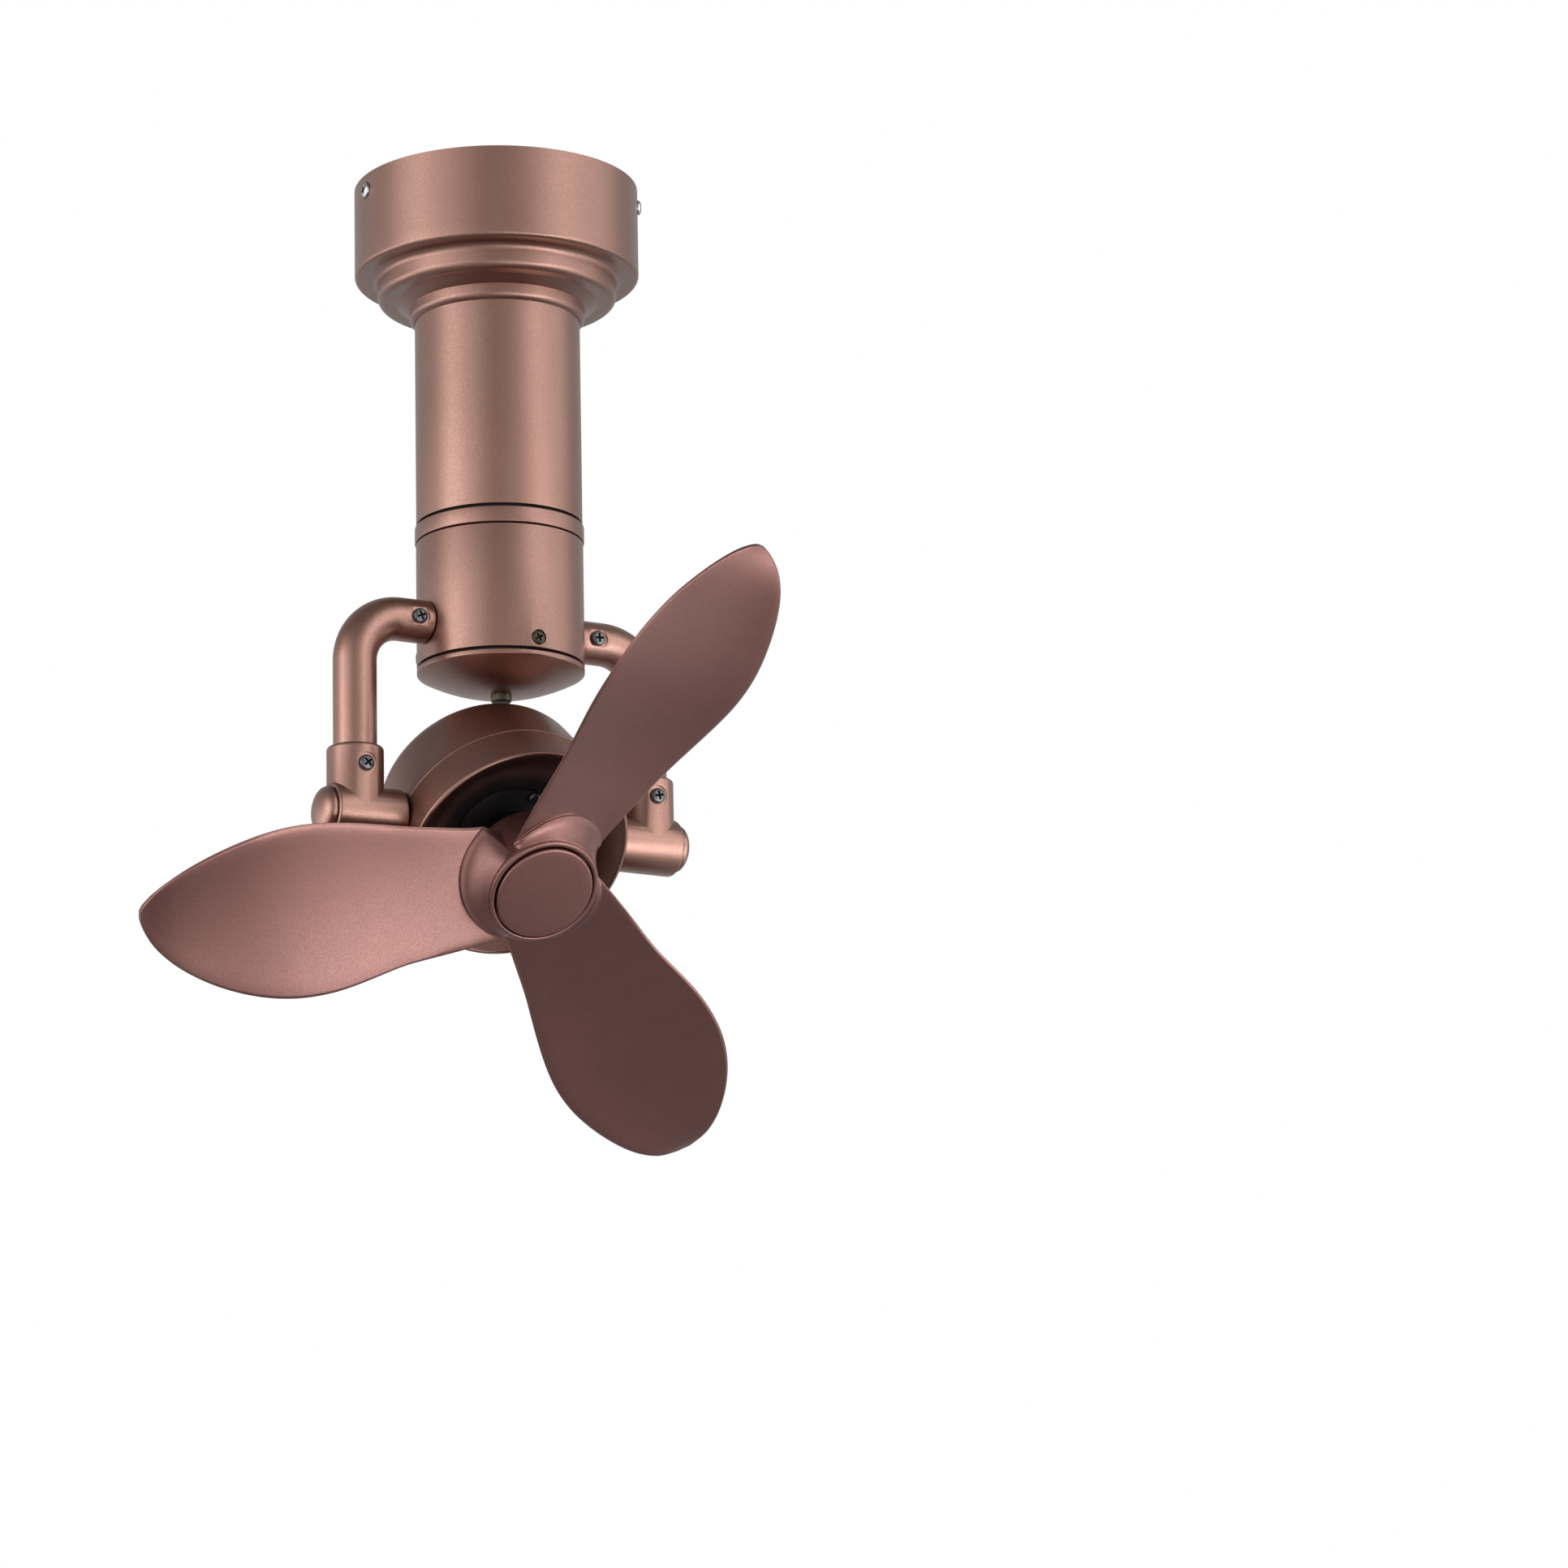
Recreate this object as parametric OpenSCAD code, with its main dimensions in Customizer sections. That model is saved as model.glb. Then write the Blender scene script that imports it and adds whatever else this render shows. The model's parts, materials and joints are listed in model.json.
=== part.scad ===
// Ceiling corner fan with a swivelling yoke and a tilting three-blade head.
// The origin is the centre of the ceiling face. +Z points up and the head faces -Y.
// Lengths are in millimetres and angles in degrees.

/* [Canopy] */
// Outside diameter of the canopy
canopy_d = 145.4; // [138:0.2:152]
// Depth of the canopy's straight side, with its rounded lower edge
canopy_side_h = 46.4; // [40:0.2:52]
// Width of the step from the canopy's side in to its middle ring
canopy_step = 11.8; // [9:0.1:14]
// Height of the canopy's middle ring
canopy_ring_h = 12.4; // [9:0.2:16]
// Height of the canopy's collar round the stem
canopy_collar_h = 9.4; // [7:0.2:12]
// Sheet thickness of the canopy
canopy_wall = 1.6; // [1:0.1:2]

/* [Ceiling bracket] */
// Sheet thickness of the ceiling bracket
bracket_t = 2.5; // [2:0.1:4]
// Pitch circle of the ceiling bolts
bolt_pcd = 108; // [100:1:112]
// Diameter of the ceiling bolt holes
bolt_hole_d = 5.5; // [4:0.1:6.5]
// Depth of the bracket's rim, which the canopy screws enter
bracket_rim_h = 15; // [12:0.5:20]

/* [Stem] */
// Outside diameter of the stem
stem_d = 84.4; // [80:0.2:88]
// Distance from the ceiling to the stem's lower end
stem_l = 179; // [165:1:240]
// Wall of the stem
stem_wall = 1.8; // [1.2:0.1:3]

/* [Swivel housing] */
// Outside diameter of the swivelling ring
ring_d = 85.9; // [84.8:0.1:87]
// Height of the swivelling ring
ring_h = 7.8; // [6:0.1:10]
// Width of the dark grooves above and below the ring and above the dome
groove_w = 1; // [0.6:0.1:1.6]
// Outside diameter of the lower housing
housing_d = 84.8; // [82:0.2:88]
// Height of the lower housing
housing_h = 64.1; // [60:0.1:90]
// Wall of the lower housing
housing_wall = 1.8; // [1.2:0.1:2.4]
// Depth of the dome below the lower housing
dome_h = 14.9; // [11:0.1:17]

/* [Arms] */
// Outside diameter of the arm tubes
arm_d = 22; // [20:0.5:24]
// Wall of the arm tubes
arm_wall = 2; // [1.5:0.1:2.5]
// Distance from the motor's side out to the upright tubes' centre lines
arm_reach = 23.25; // [22:0.25:32]
// Distance from the housing's top edge down to the arms' level run
arm_drop = 45.4; // [40:0.1:48]
// Radius of the arms' bends, on the centre line
bend_r = 24.4; // [22:0.1:28]
// Least clearance between the dome's nut and the head as it tilts
tilt_gap = 2; // [1.5:0.1:12]

/* [Pivots] */
// Outside diameter of the sockets that take the arms
socket_d = 28.6; // [27:0.1:30]
// Height of the sockets' top edge over the pivot
socket_h = 34; // [31:0.1:40]
// Outside diameter of the pivot barrels
barrel_d = 29; // [27:0.1:30]
// Length of the pivot barrels
barrel_l = 37.8; // [34:0.1:44]
// Diameter of the pivot pins
pin_d = 12; // [10:0.2:13]
// Radial clearance of the pivot pins in their barrels
pin_gap = 0.06; // [0.03:0.01:0.1]
// Length that the pivot caps stand out of their barrels
cap_l = 7; // [5:0.5:9]

/* [Motor head] */
// Outside diameter of the motor's front shell
head_d = 116.8; // [108:0.2:124]
// Length of the front shell, from the seam to the rim
front_shell_l = 24.3; // [20:0.1:26]
// Length of the rear shell, from the seam to its back
rear_shell_l = 53.4; // [50:0.1:56]
// Wall of the shells
shell_wall = 2.2; // [1.6:0.1:2.8]
// Angle of the rotor axis below level in the stored pose
rest_tilt = 43; // [20:1:80]

/* [Rotor] */
// Diameter swept by the blade tips
sweep_d = 406.4; // [390:0.2:420]
// Thickness of a blade
blade_t = 2.6; // [2:0.1:3.2]
// Turn of the first blade from the pivot axis
blade_angle = 72.5; // [0:0.5:119.5]
// Outside diameter of the hub barrel
hub_d = 57.6; // [56:0.1:60]
// Distance from the pivot axis to the front face of the hub's ring
hub_front = 61.3; // [60:0.1:66]
// Diameter of the hub cap
hub_cap_d = 50; // [47:0.1:51]
// Height of the hub cap over the ring
hub_cap_proud = 1.8; // [1:0.1:3]
// Diameter of the rotor shaft
shaft_d = 8; // [7:0.1:10]

/* [Swivel drive] */
// Face width of the gears
gear_w = 5; // [4:0.5:7]
// Diameter of the fixed spindle
spindle_d = 18; // [16:0.2:20]

/* [Hidden] */
$fn = 96;

// Colours of the finishes
bronze = "#8a6759";
dark_bronze = "#6d4840";
steel = "#a9abad";
dark_steel = "#4c4d50";
black = "#1d1c1d";
chrome = "#d4d6d8";
brass = "#8d8357";
copper = "#b36a3c";
board_green = "#2f5d3a";
white = "#e6e4de";

// One overrun for every cut, and the clearances between pieces
cut = 1;
slip = 0.1;
loose = 0.3;
run_gap = 0.05;
thread_gap = 0.1;

// Screws: head radius, head height, shank radius, and the cross recess as shares of the head
small_head_r = 3.2;
small_head_h = 2;
small_shank_r = 1.5;
arm_head_r = 4.4;
arm_head_h = 2.4;
arm_shank_r = 1.9;
housing_head_r = 3.78;
recess_w_share = 0.26;
recess_l_share = 1.2;
recess_depth_share = 0.55;
crown_share = 0.45;

// Heights and radii that the sections share
canopy_r = canopy_d / 2;
stem_r = stem_d / 2;
stem_in_r = stem_r - stem_wall;
ring_r = ring_d / 2;
ring_top_z = -stem_l - groove_w;
ring_low_z = ring_top_z - ring_h;
housing_r = housing_d / 2;
housing_in_r = housing_r - housing_wall;
housing_top_z = ring_low_z - groove_w;
housing_low_z = housing_top_z - housing_h;
arm_r = arm_d / 2;
arm_in_r = arm_r - arm_wall;
head_r = head_d / 2;
head_in_r = head_r - shell_wall;
arm_x = head_r + arm_reach;
arm_z = housing_top_z - arm_drop;

// Canopy outline
canopy_edge_r = 3.8;
canopy_cove = 1.4;
canopy_bead_r = 1.6;
canopy_bead_step = 1.1;
canopy_ring_edge_r = 2.6;
canopy_flare = 2.6;
canopy_edge_turn = [0, -80];
canopy_rise_turn = [100, 170];
canopy_bead_turn = [40, -60];
canopy_ring_turn = [30, -85];
canopy_cove_turn = [95, 200];
arc_steps = 6;

// Ceiling bracket and the screws that hold the canopy to its rim
bracket_r = canopy_r - canopy_wall - loose;
bracket_rim_t = 2;
bolt_count = 4;
wire_hole_r = 13;
canopy_screw_z = -8.8;
canopy_screw_l = 7;
canopy_screw_angles = [178, -28, 75];

// Top flange of the stem and its bolts
flange_in_r = 28;
flange_t = 3;
stem_bolt_r = 35;
stem_bolt_count = 3;
stem_bolt_head_r = 4.5;
stem_bolt_head_h = 3.2;
stem_bolt_shank_r = 2.5;

// Terminal block under the bracket
terminal_w = 34;
terminal_d = 15;
terminal_h = 12;
terminal_ways = 3;
terminal_r = 57;
terminal_turn = 45;
terminal_hole_r = 2.2;
terminal_screw_r = 2;

// Bulkhead, spindle and gears inside the stem
bulkhead_t = 3;
bulkhead_rim_h = 10;
bulkhead_rim_t = 1.5;
bulkhead_over_gear = 9;
gear_over_ring = 3;
spindle_r = spindle_d / 2;
spindle_bore_r = 5;
spindle_flange_r = 16;
spindle_flange_t = 3;
spindle_screw_r = 12.5;
spindle_screw_turn = 60;
spindle_screw_count = 3;
gear_low_z = ring_top_z + gear_over_ring;
bulkhead_low_z = gear_low_z + gear_w + bulkhead_over_gear;
bulkhead_top_z = bulkhead_low_z + bulkhead_t;
gear_module = 0.8;
gear_teeth = 60;
pinion_teeth = 15;
gear_pitch_r = gear_module * gear_teeth / 2;
pinion_pitch_r = gear_module * pinion_teeth / 2;
gear_centres = gear_pitch_r + pinion_pitch_r;
addendum_share = 0.9;
dedendum_share = 1.2;
tooth_share = 0.43;
flank_angle = 20;
pinion_shaft_r = 2.5;
pinion_shaft_l = 16;
motor_can_r = 14.5;
motor_can_h = 20;
motor_can_offset = 24;
motor_boss_r = 6;
motor_ear_r = 3.5;
motor_ear_t = 1.5;

// Board above the swivel motor
board_r = 33;
board_t = 1.6;
board_hole_r = 7;
board_lift = 30;
standoff_r = 2.6;
standoff_count = 3;
standoff_circle_r = 29;
standoff_turn = 60;
capacitor_r = 6;
capacitor_h = 14;
chip_w = 9;
chip_h = 3;
capacitor_turns = [30, 150];
chip_turns = [220, 270, 320];
part_circle_r = 17;

// Swivel hub, its bearings and the nut under them
bearing_w = 9;
bearing_out_r = 15;
hub_sleeve_r = 18.4;
hub_sleeve_l = 34;
hub_web_t = 3.5;
hub_skirt_t = 2;
sleeve_lip_t = 1.5;
spindle_tail = 9;
spindle_nut_r = 13;
spindle_nut_h = 6;
ring_screw_r = 35;
ring_screw_turn = 30;
ring_screw_count = 3;
ring_screw_l = 5;
hex_sides = 6;

// Fixing of the lower housing and of the dome
ledge_in_r = 30;
ledge_t = 2;
dome_collar_h = 9.5;
dome_collar_t = 2;
dome_screw_up = 5.5;
dome_screw_count = 3;
dome_screw_l = 6;
dome_lip_h = 2.4;
dome_edge_r = 5;
dome_edge_turn = 55;
dome_wall = 1.8;
dome_nut_r = 5.4;
dome_nut_h = 3.6;
dome_nut_shank_r = 3;
dome_nut_shank_l = 8;
dome_washer_r = 8;
dome_washer_t = 1.2;

// Spigots that carry the arms, and the screws that lock them
spigot_r = arm_in_r - slip / 2;
spigot_wall = 2.4;
spigot_flange_r = 12;
spigot_flange_t = 2.5;
spigot_in = 3.2;
spigot_end = arm_x - bend_r - loose;
arm_screw_out = 7.8;
arm_screw_l = 6;
spot_r = 5.3;
arm_spot = 0.9;
socket_spot = 1.3;

// Sockets and barrels
socket_r = socket_d / 2;
socket_round = 2;
socket_floor = 15.3;
socket_screw_up = 23.3;
barrel_r = barrel_d / 2;
barrel_gap = 0.3;
barrel_end = head_r + barrel_gap + barrel_l;
barrel_round = 1;
pin_r = pin_d / 2;
pin_bore_r = pin_r + pin_gap;
pin_hollow_r = 3;
counterbore_r = 10.5;
counterbore_l = 12.5;
wire_path_r = 4.5;
cap_r = 12.2;
cap_plug_l = 4;
cap_plug_hollow = 2.2;

// Motor head
seam_s = 0.6;
seam_step = 0.5;
rear_r_share = 0.945;
rear_straight_share = 0.54;
rear_steps = 10;
rim_round = 1.6;
recess_floor_s = 6;
recess_web_t = 3;
recess_round = 16;
bowl_steps = 12;
bearing_boss_r = 13.4;
rear_bearing_back = 7.4;
motor_bearing_r = 11;
motor_bearing_w = 7;
front_bearing_s = 0;
rear_bearing_s = rear_bearing_back - rear_shell_l;
bearing_shoulder = 1.2;
rib_count = 2;
rib_t = 2.4;
rib_turn = 90;

// How far the head reaches from its tilt axis, and the height of that axis under the dome's nut
head_reach = max(norm([head_r - rim_round / 2, front_shell_l - rim_round / 2]) + rim_round / 2,
  max([for (p = rear_outline(0)) norm(p)]));
dome_nut_low_z = housing_low_z - dome_h - dome_nut_h;
pivot_z = dome_nut_low_z - tilt_gap - head_reach;

// Trunnions, held between the shells
trunnion_boss_r = 13.2;
trunnion_collar_r = 16;
trunnion_collar_t = 3.2;
washer_t = 1;
washer_r = 11.6;
trunnion_face = head_r - washer_t - loose;
trunnion_boss_l = 4.4;
trunnion_round_l = 2.4;
nut_h = 5.4;
nut_r = 8.6;
nut_washer_t = 1;
nut_washer_r = 9.2;
pin_tail = 1.2;

// Screws that join the shells
shell_screw_count = 4;
shell_screw_turn = 45;
shell_screw_inset = 10.2;
shell_screw_circle_r = head_r - shell_screw_inset;
shell_screw_pocket_r = 4.2;
shell_screw_pocket = 19.4;
shell_screw_floor_s = shell_screw_pocket - rear_shell_l;
shell_screw_head_r = 3.6;
shell_screw_boss_r = 4;
shell_boss_deep = 14;
shell_screw_l = recess_floor_s - recess_web_t - shell_screw_floor_s;

// Dark plate in the front recess
plate_t = 1.5;
plate_in_r = 15;
plate_edge_gap = 2.2;
plate_screw_inset = 13;
plate_out_r = head_in_r - recess_round - plate_edge_gap;
plate_screw_circle_r = plate_out_r - plate_screw_inset;
plate_screw_count = 3;
plate_screw_turn = 73.5;

// Stator and rotor
stator_inset = 14.9;
stator_r = head_r - stator_inset;
stator_bore_r = 22.6;
stator_behind = 21.4;
stator_ahead = 8;
stator_back = stator_behind - rear_shell_l;
stator_l = rear_shell_l - stator_behind - stator_ahead;
slot_count = 12;
slot_w = 7;
slot_in_r = 26;
stator_yoke = 5.5;
slot_out_r = stator_r - stator_yoke;
winding_over = 5;
winding_gap = 0.2;
air_gap = 0.6;
shaft_r = shaft_d / 2;
shaft_collar_r = 5.4;
shaft_collar_l = 3;

// Hub
hub_r = hub_d / 2;
hub_back = 29;
hub_ring_t = 2.4;
hub_ring_round = 1.2;
hub_cap_r = hub_cap_d / 2;
hub_recess = 4.6;
hub_pocket_r = 12.5;
hub_pocket = 12;
hub_skirt_r = 15.4;
hub_skirt_wall = 1.6;
hub_skirt_back = 13;
hub_floor_t = 3;
hub_boss_r = 9;
hub_nut_r = 8;
hub_nut_h = 5;
hub_cap_round = 1.4;
hub_cap_wall = 2;

// Blade outline as shares of the tip radius. Each row gives how far out the section lies, how far
// its front and back edges stand to each side, and how far those edges lie ahead of the pivot.
blade_shares = [
  [0.165, 0.137, -0.134, 0.272, 0.186],
  [0.235, 0.152, -0.136, 0.278, 0.189],
  [0.330, 0.175, -0.157, 0.289, 0.191],
  [0.420, 0.198, -0.176, 0.301, 0.194],
  [0.510, 0.218, -0.194, 0.312, 0.202],
  [0.610, 0.225, -0.206, 0.315, 0.214],
  [0.710, 0.216, -0.197, 0.304, 0.224],
  [0.810, 0.187, -0.166, 0.286, 0.230],
  [0.890, 0.146, -0.128, 0.269, 0.233],
  [0.940, 0.109, -0.093, 0.254, 0.232],
  [0.975, 0.072, -0.057, 0.238, 0.225],
  [0.995, 0.035, -0.021, 0.222, 0.215],
  [1.000, 0.016, -0.004, 0.216, 0.212]];
blade_count = 3;
sweep_r = sweep_d / 2;
blade_root_gap = 0.2;
blade_camber_share = 0.03;
blade_edge_power = 24;
blade_cells = 12;
petal_cells = 5;
row_cells = 2;
petal_reach = 30;
petal_half_w = 30.2;
petal_side = -2.15;
petal_foot_front = 26.2;
petal_foot_back = -23.2;
petal_step = 1.5;
petal_curve = 1.8;
petal_least = 0.8;
petal_drop = 1.6;
tongue_in = 5;
tongue_out = 2.5;
tongue_w = 16;
tongue_t = 3.2;

// A rounded, cross-headed screw. Its head stands on z = 0 and its shank goes down.
module screw(head_r, head_h, shank_r, shank_l) {
  difference() {
    rotate_extrude() polygon([[0, 0], [head_r, 0], [head_r, head_h * crown_share],
      [head_r * (1 - crown_share / 2), head_h * (1 + crown_share) / 2 + head_h * crown_share / 4],
      [head_r * crown_share, head_h], [0, head_h]]);
    for (turn = [0, 90]) rotate([0, 0, turn])
      translate([-head_r * recess_l_share / 2, -head_r * recess_w_share / 2,
        head_h * (1 - recess_depth_share)])
        cube([head_r * recess_l_share, head_r * recess_w_share, head_h]);
  }
  translate([0, 0, -shank_l]) cylinder(r = shank_r, h = shank_l);
}

// Puts its children on a circle, with +Z outwards and +Y up
module out_of_circle(radius, angle, height) {
  rotate([0, 0, angle]) translate([radius, 0, height]) rotate([0, 90, 0]) children();
}

// The head's own frame: +Z along the rotor axis towards the front, +X along the pivot axis
module head_frame() {
  translate([0, 0, pivot_z]) rotate([90 + rest_tilt, 0, 0]) children();
}

// Points of an arc in an outline
function arc(cx, cy, radius, from, to, steps) =
  [for (i = [0:steps]) let (a = from + (to - from) * i / steps)
    [cx + radius * cos(a), cy + radius * sin(a)]];

// The canopy's outer outline, from its ceiling edge down to its collar, grown by g
function canopy_outline(g) = let (
    ring_r1 = canopy_r - canopy_step + g,
    top2 = -canopy_side_h - canopy_cove,
    low2 = top2 - canopy_ring_h,
    top3 = low2 - canopy_cove,
    collar_r = stem_r + canopy_wall + g)
  concat(
    [[canopy_r + g, 0]],
    arc(canopy_r - canopy_edge_r + g, -canopy_side_h + canopy_edge_r, canopy_edge_r,
      canopy_edge_turn[0], canopy_edge_turn[1], arc_steps),
    arc(ring_r1 + canopy_bead_r, top2, canopy_bead_r, canopy_rise_turn[0], canopy_rise_turn[1], arc_steps),
    arc(ring_r1 - canopy_bead_r, top2 - canopy_bead_r, canopy_bead_r,
      canopy_bead_turn[0], canopy_bead_turn[1], arc_steps),
    arc(ring_r1 - canopy_ring_edge_r - canopy_bead_step / 2, low2 + canopy_ring_edge_r,
      canopy_ring_edge_r, canopy_ring_turn[0], canopy_ring_turn[1], arc_steps),
    arc(collar_r + canopy_flare, top3 - canopy_flare / 2, canopy_flare / 2,
      canopy_cove_turn[0], canopy_cove_turn[1], arc_steps),
    arc(collar_r - canopy_bead_step / 2, top3 - canopy_collar_h + canopy_bead_r, canopy_bead_r,
      canopy_edge_turn[0], canopy_edge_turn[1], arc_steps));
canopy_low_z = -canopy_side_h - 2 * canopy_cove - canopy_ring_h - canopy_collar_h;

module ceiling_bracket() {
  color(steel) difference() {
    union() {
      translate([0, 0, -bracket_t]) cylinder(r = bracket_r, h = bracket_t);
      difference() {
        translate([0, 0, -bracket_rim_h]) cylinder(r = bracket_r, h = bracket_rim_h);
        translate([0, 0, -bracket_rim_h - cut])
          cylinder(r = bracket_r - bracket_rim_t, h = bracket_rim_h + 2 * cut);
      }
    }
    translate([0, 0, -bracket_t - cut]) cylinder(r = wire_hole_r, h = bracket_t + 2 * cut);
    for (i = [0:bolt_count - 1]) rotate([0, 0, i * 360 / bolt_count])
      translate([bolt_pcd / 2, 0, -bracket_t - cut]) cylinder(d = bolt_hole_d, h = bracket_t + 2 * cut);
    for (i = [0:stem_bolt_count - 1]) rotate([0, 0, i * 360 / stem_bolt_count + 90])
      translate([stem_bolt_r, 0, -bracket_t - cut])
        cylinder(r = stem_bolt_shank_r + thread_gap, h = bracket_t + 2 * cut);
    for (angle = canopy_screw_angles)
      out_of_circle(bracket_r - bracket_rim_t - cut, angle, canopy_screw_z)
        cylinder(r = small_shank_r + thread_gap, h = bracket_rim_t + 2 * cut);
  }
}

module canopy() {
  color(bronze) difference() {
    rotate_extrude() polygon(concat([[0, 0]], canopy_outline(0), [[0, canopy_low_z]]));
    rotate_extrude() polygon(concat([[0, cut], [canopy_r - canopy_wall, cut]],
      [for (p = canopy_outline(-canopy_wall)) [p[0], min(cut, p[1] + (p[1] < 0 ? canopy_wall : cut))]],
      [[0, canopy_low_z + canopy_wall]]));
    translate([0, 0, canopy_low_z - cut]) cylinder(r = stem_r + slip, h = canopy_ring_h + canopy_collar_h);
    for (angle = canopy_screw_angles)
      out_of_circle(bracket_r - cut, angle, canopy_screw_z)
        cylinder(r = small_shank_r + thread_gap, h = canopy_r - bracket_r + 2 * cut);
  }
}

module canopy_screws() {
  color(chrome) for (angle = canopy_screw_angles)
    out_of_circle(canopy_r + slip, angle, canopy_screw_z)
      screw(small_head_r, small_head_h, small_shank_r, canopy_screw_l);
}

module stem_tube() {
  color(bronze) difference() {
    translate([0, 0, -stem_l]) cylinder(r = stem_r, h = stem_l - bracket_t);
    translate([0, 0, -stem_l - cut])
      cylinder(r = stem_in_r, h = stem_l - bracket_t - flange_t + cut);
    translate([0, 0, -bracket_t - flange_t - cut]) cylinder(r = flange_in_r, h = flange_t + 2 * cut);
    for (i = [0:stem_bolt_count - 1]) rotate([0, 0, i * 360 / stem_bolt_count + 90])
      translate([stem_bolt_r, 0, -bracket_t - flange_t - cut])
        cylinder(r = stem_bolt_shank_r + thread_gap, h = flange_t + 2 * cut);
  }
}

module stem_bolts() {
  color(steel) for (i = [0:stem_bolt_count - 1]) rotate([0, 0, i * 360 / stem_bolt_count + 90])
    translate([stem_bolt_r, 0, -bracket_t - flange_t]) rotate([180, 0, 0])
      screw(stem_bolt_head_r, stem_bolt_head_h, stem_bolt_shank_r, flange_t + bracket_t - slip);
}

module terminal_block() {
  way = terminal_w / terminal_ways;
  color(white) rotate([0, 0, terminal_turn])
    translate([-terminal_w / 2, terminal_r - terminal_d / 2, -bracket_t - terminal_h])
    difference() {
      cube([terminal_w, terminal_d, terminal_h]);
      for (i = [0:terminal_ways - 1]) translate([(i + 1 / 2) * way, 0, terminal_h / 2]) {
        translate([0, -cut, 0]) rotate([-90, 0, 0]) cylinder(r = terminal_hole_r, h = terminal_d + 2 * cut);
        translate([0, terminal_d / 2, -terminal_h]) cylinder(r = terminal_screw_r, h = terminal_h);
      }
    }
}

module bulkhead() {
  color(steel) difference() {
    union() {
      translate([0, 0, bulkhead_low_z]) cylinder(r = stem_in_r, h = bulkhead_t);
      difference() {
        translate([0, 0, bulkhead_low_z]) cylinder(r = stem_in_r, h = bulkhead_rim_h);
        translate([0, 0, bulkhead_low_z])
          cylinder(r = stem_in_r - bulkhead_rim_t, h = bulkhead_rim_h + cut);
      }
    }
    translate([0, 0, bulkhead_low_z - cut]) cylinder(r = spindle_bore_r, h = bulkhead_t + 2 * cut);
    translate([gear_centres, 0, bulkhead_low_z - cut]) cylinder(r = motor_boss_r, h = bulkhead_t + 2 * cut);
    at_spindle_screws() translate([0, 0, -bulkhead_t - cut])
      cylinder(r = small_shank_r + thread_gap, h = bulkhead_t + 2 * cut);
  }
}

module board_standoffs() {
  color(brass) for (i = [0:standoff_count - 1]) rotate([0, 0, standoff_turn + i * 360 / standoff_count])
    translate([standoff_circle_r, 0, bulkhead_top_z])
      cylinder(r = standoff_r, h = board_lift, $fn = hex_sides);
}

module control_board() {
  board_z = bulkhead_top_z + board_lift;
  color(board_green) translate([0, 0, board_z]) {
    difference() {
      cylinder(r = board_r, h = board_t);
      translate([0, 0, -cut]) cylinder(r = board_hole_r, h = board_t + 2 * cut);
    }
    for (turn = capacitor_turns) rotate([0, 0, turn]) translate([part_circle_r + chip_w / 2, 0, board_t])
      cylinder(r = capacitor_r, h = capacitor_h);
    for (turn = chip_turns) rotate([0, 0, turn])
      translate([part_circle_r, -chip_w / 2, board_t]) cube([chip_w, chip_w, chip_h]);
  }
}

module swivel_motor() {
  color(dark_steel) difference() {
    union() {
      translate([motor_can_offset, 0, bulkhead_top_z]) cylinder(r = motor_can_r, h = motor_can_h);
      translate([gear_centres, 0, bulkhead_low_z])
        cylinder(r = motor_boss_r - slip, h = bulkhead_t + motor_ear_t);
      for (side = [-1, 1]) translate([motor_can_offset, side * motor_can_r, bulkhead_top_z])
        cylinder(r = motor_ear_r, h = motor_ear_t);
    }
    translate([gear_centres, 0, bulkhead_low_z - cut])
      cylinder(r = pinion_shaft_r + run_gap, h = pinion_shaft_l);
  }
}

module spindle() {
  low_z = ring_top_z - hub_sleeve_l - spindle_tail;
  color(steel) difference() {
    union() {
      translate([0, 0, bulkhead_low_z - spindle_flange_t])
        cylinder(r = spindle_flange_r, h = spindle_flange_t);
      translate([0, 0, low_z]) cylinder(r = spindle_r, h = bulkhead_low_z - low_z - spindle_flange_t);
    }
    translate([0, 0, low_z - cut]) cylinder(r = spindle_bore_r, h = bulkhead_low_z - low_z + 2 * cut);
    at_spindle_screws() translate([0, 0, -bulkhead_t - spindle_flange_t - cut])
      cylinder(r = small_shank_r + thread_gap, h = spindle_flange_t + 2 * cut);
  }
}

// Places its children on the circle of screws that hold the spindle
module at_spindle_screws() {
  for (i = [0:spindle_screw_count - 1]) rotate([0, 0, spindle_screw_turn + i * 360 / spindle_screw_count])
    translate([spindle_screw_r, 0, bulkhead_top_z]) children();
}

module spindle_screws() {
  color(steel) at_spindle_screws()
    screw(small_head_r, small_head_h, small_shank_r, bulkhead_t + spindle_flange_t);
}

module spindle_nut() {
  color(steel) translate([0, 0, ring_top_z - hub_sleeve_l - loose - spindle_nut_h]) difference() {
    cylinder(r = spindle_nut_r, h = spindle_nut_h, $fn = hex_sides);
    translate([0, 0, -cut]) cylinder(r = spindle_r, h = spindle_nut_h + 2 * cut);
  }
}

// A spur gear's outline: straight flanks, thinned for backlash
module gear_outline(teeth) {
  pitch_r = gear_module * teeth / 2;
  half = tooth_share * gear_module * PI / 2;
  root_r = pitch_r - dedendum_share * gear_module;
  tip_r = pitch_r + addendum_share * gear_module;
  root_half = half + dedendum_share * gear_module * tan(flank_angle) / 2;
  tip_half = half - addendum_share * gear_module * tan(flank_angle);
  polygon([for (i = [0:teeth - 1], side = [0:3])
    let (a = i * 360 / teeth,
      along = side == 0 || side == 3 ? root_r : tip_r,
      across = side == 0 ? -root_half : side == 1 ? -tip_half : side == 2 ? tip_half : root_half)
    [along * cos(a) - across * sin(a), along * sin(a) + across * cos(a)]]);
}

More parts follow.
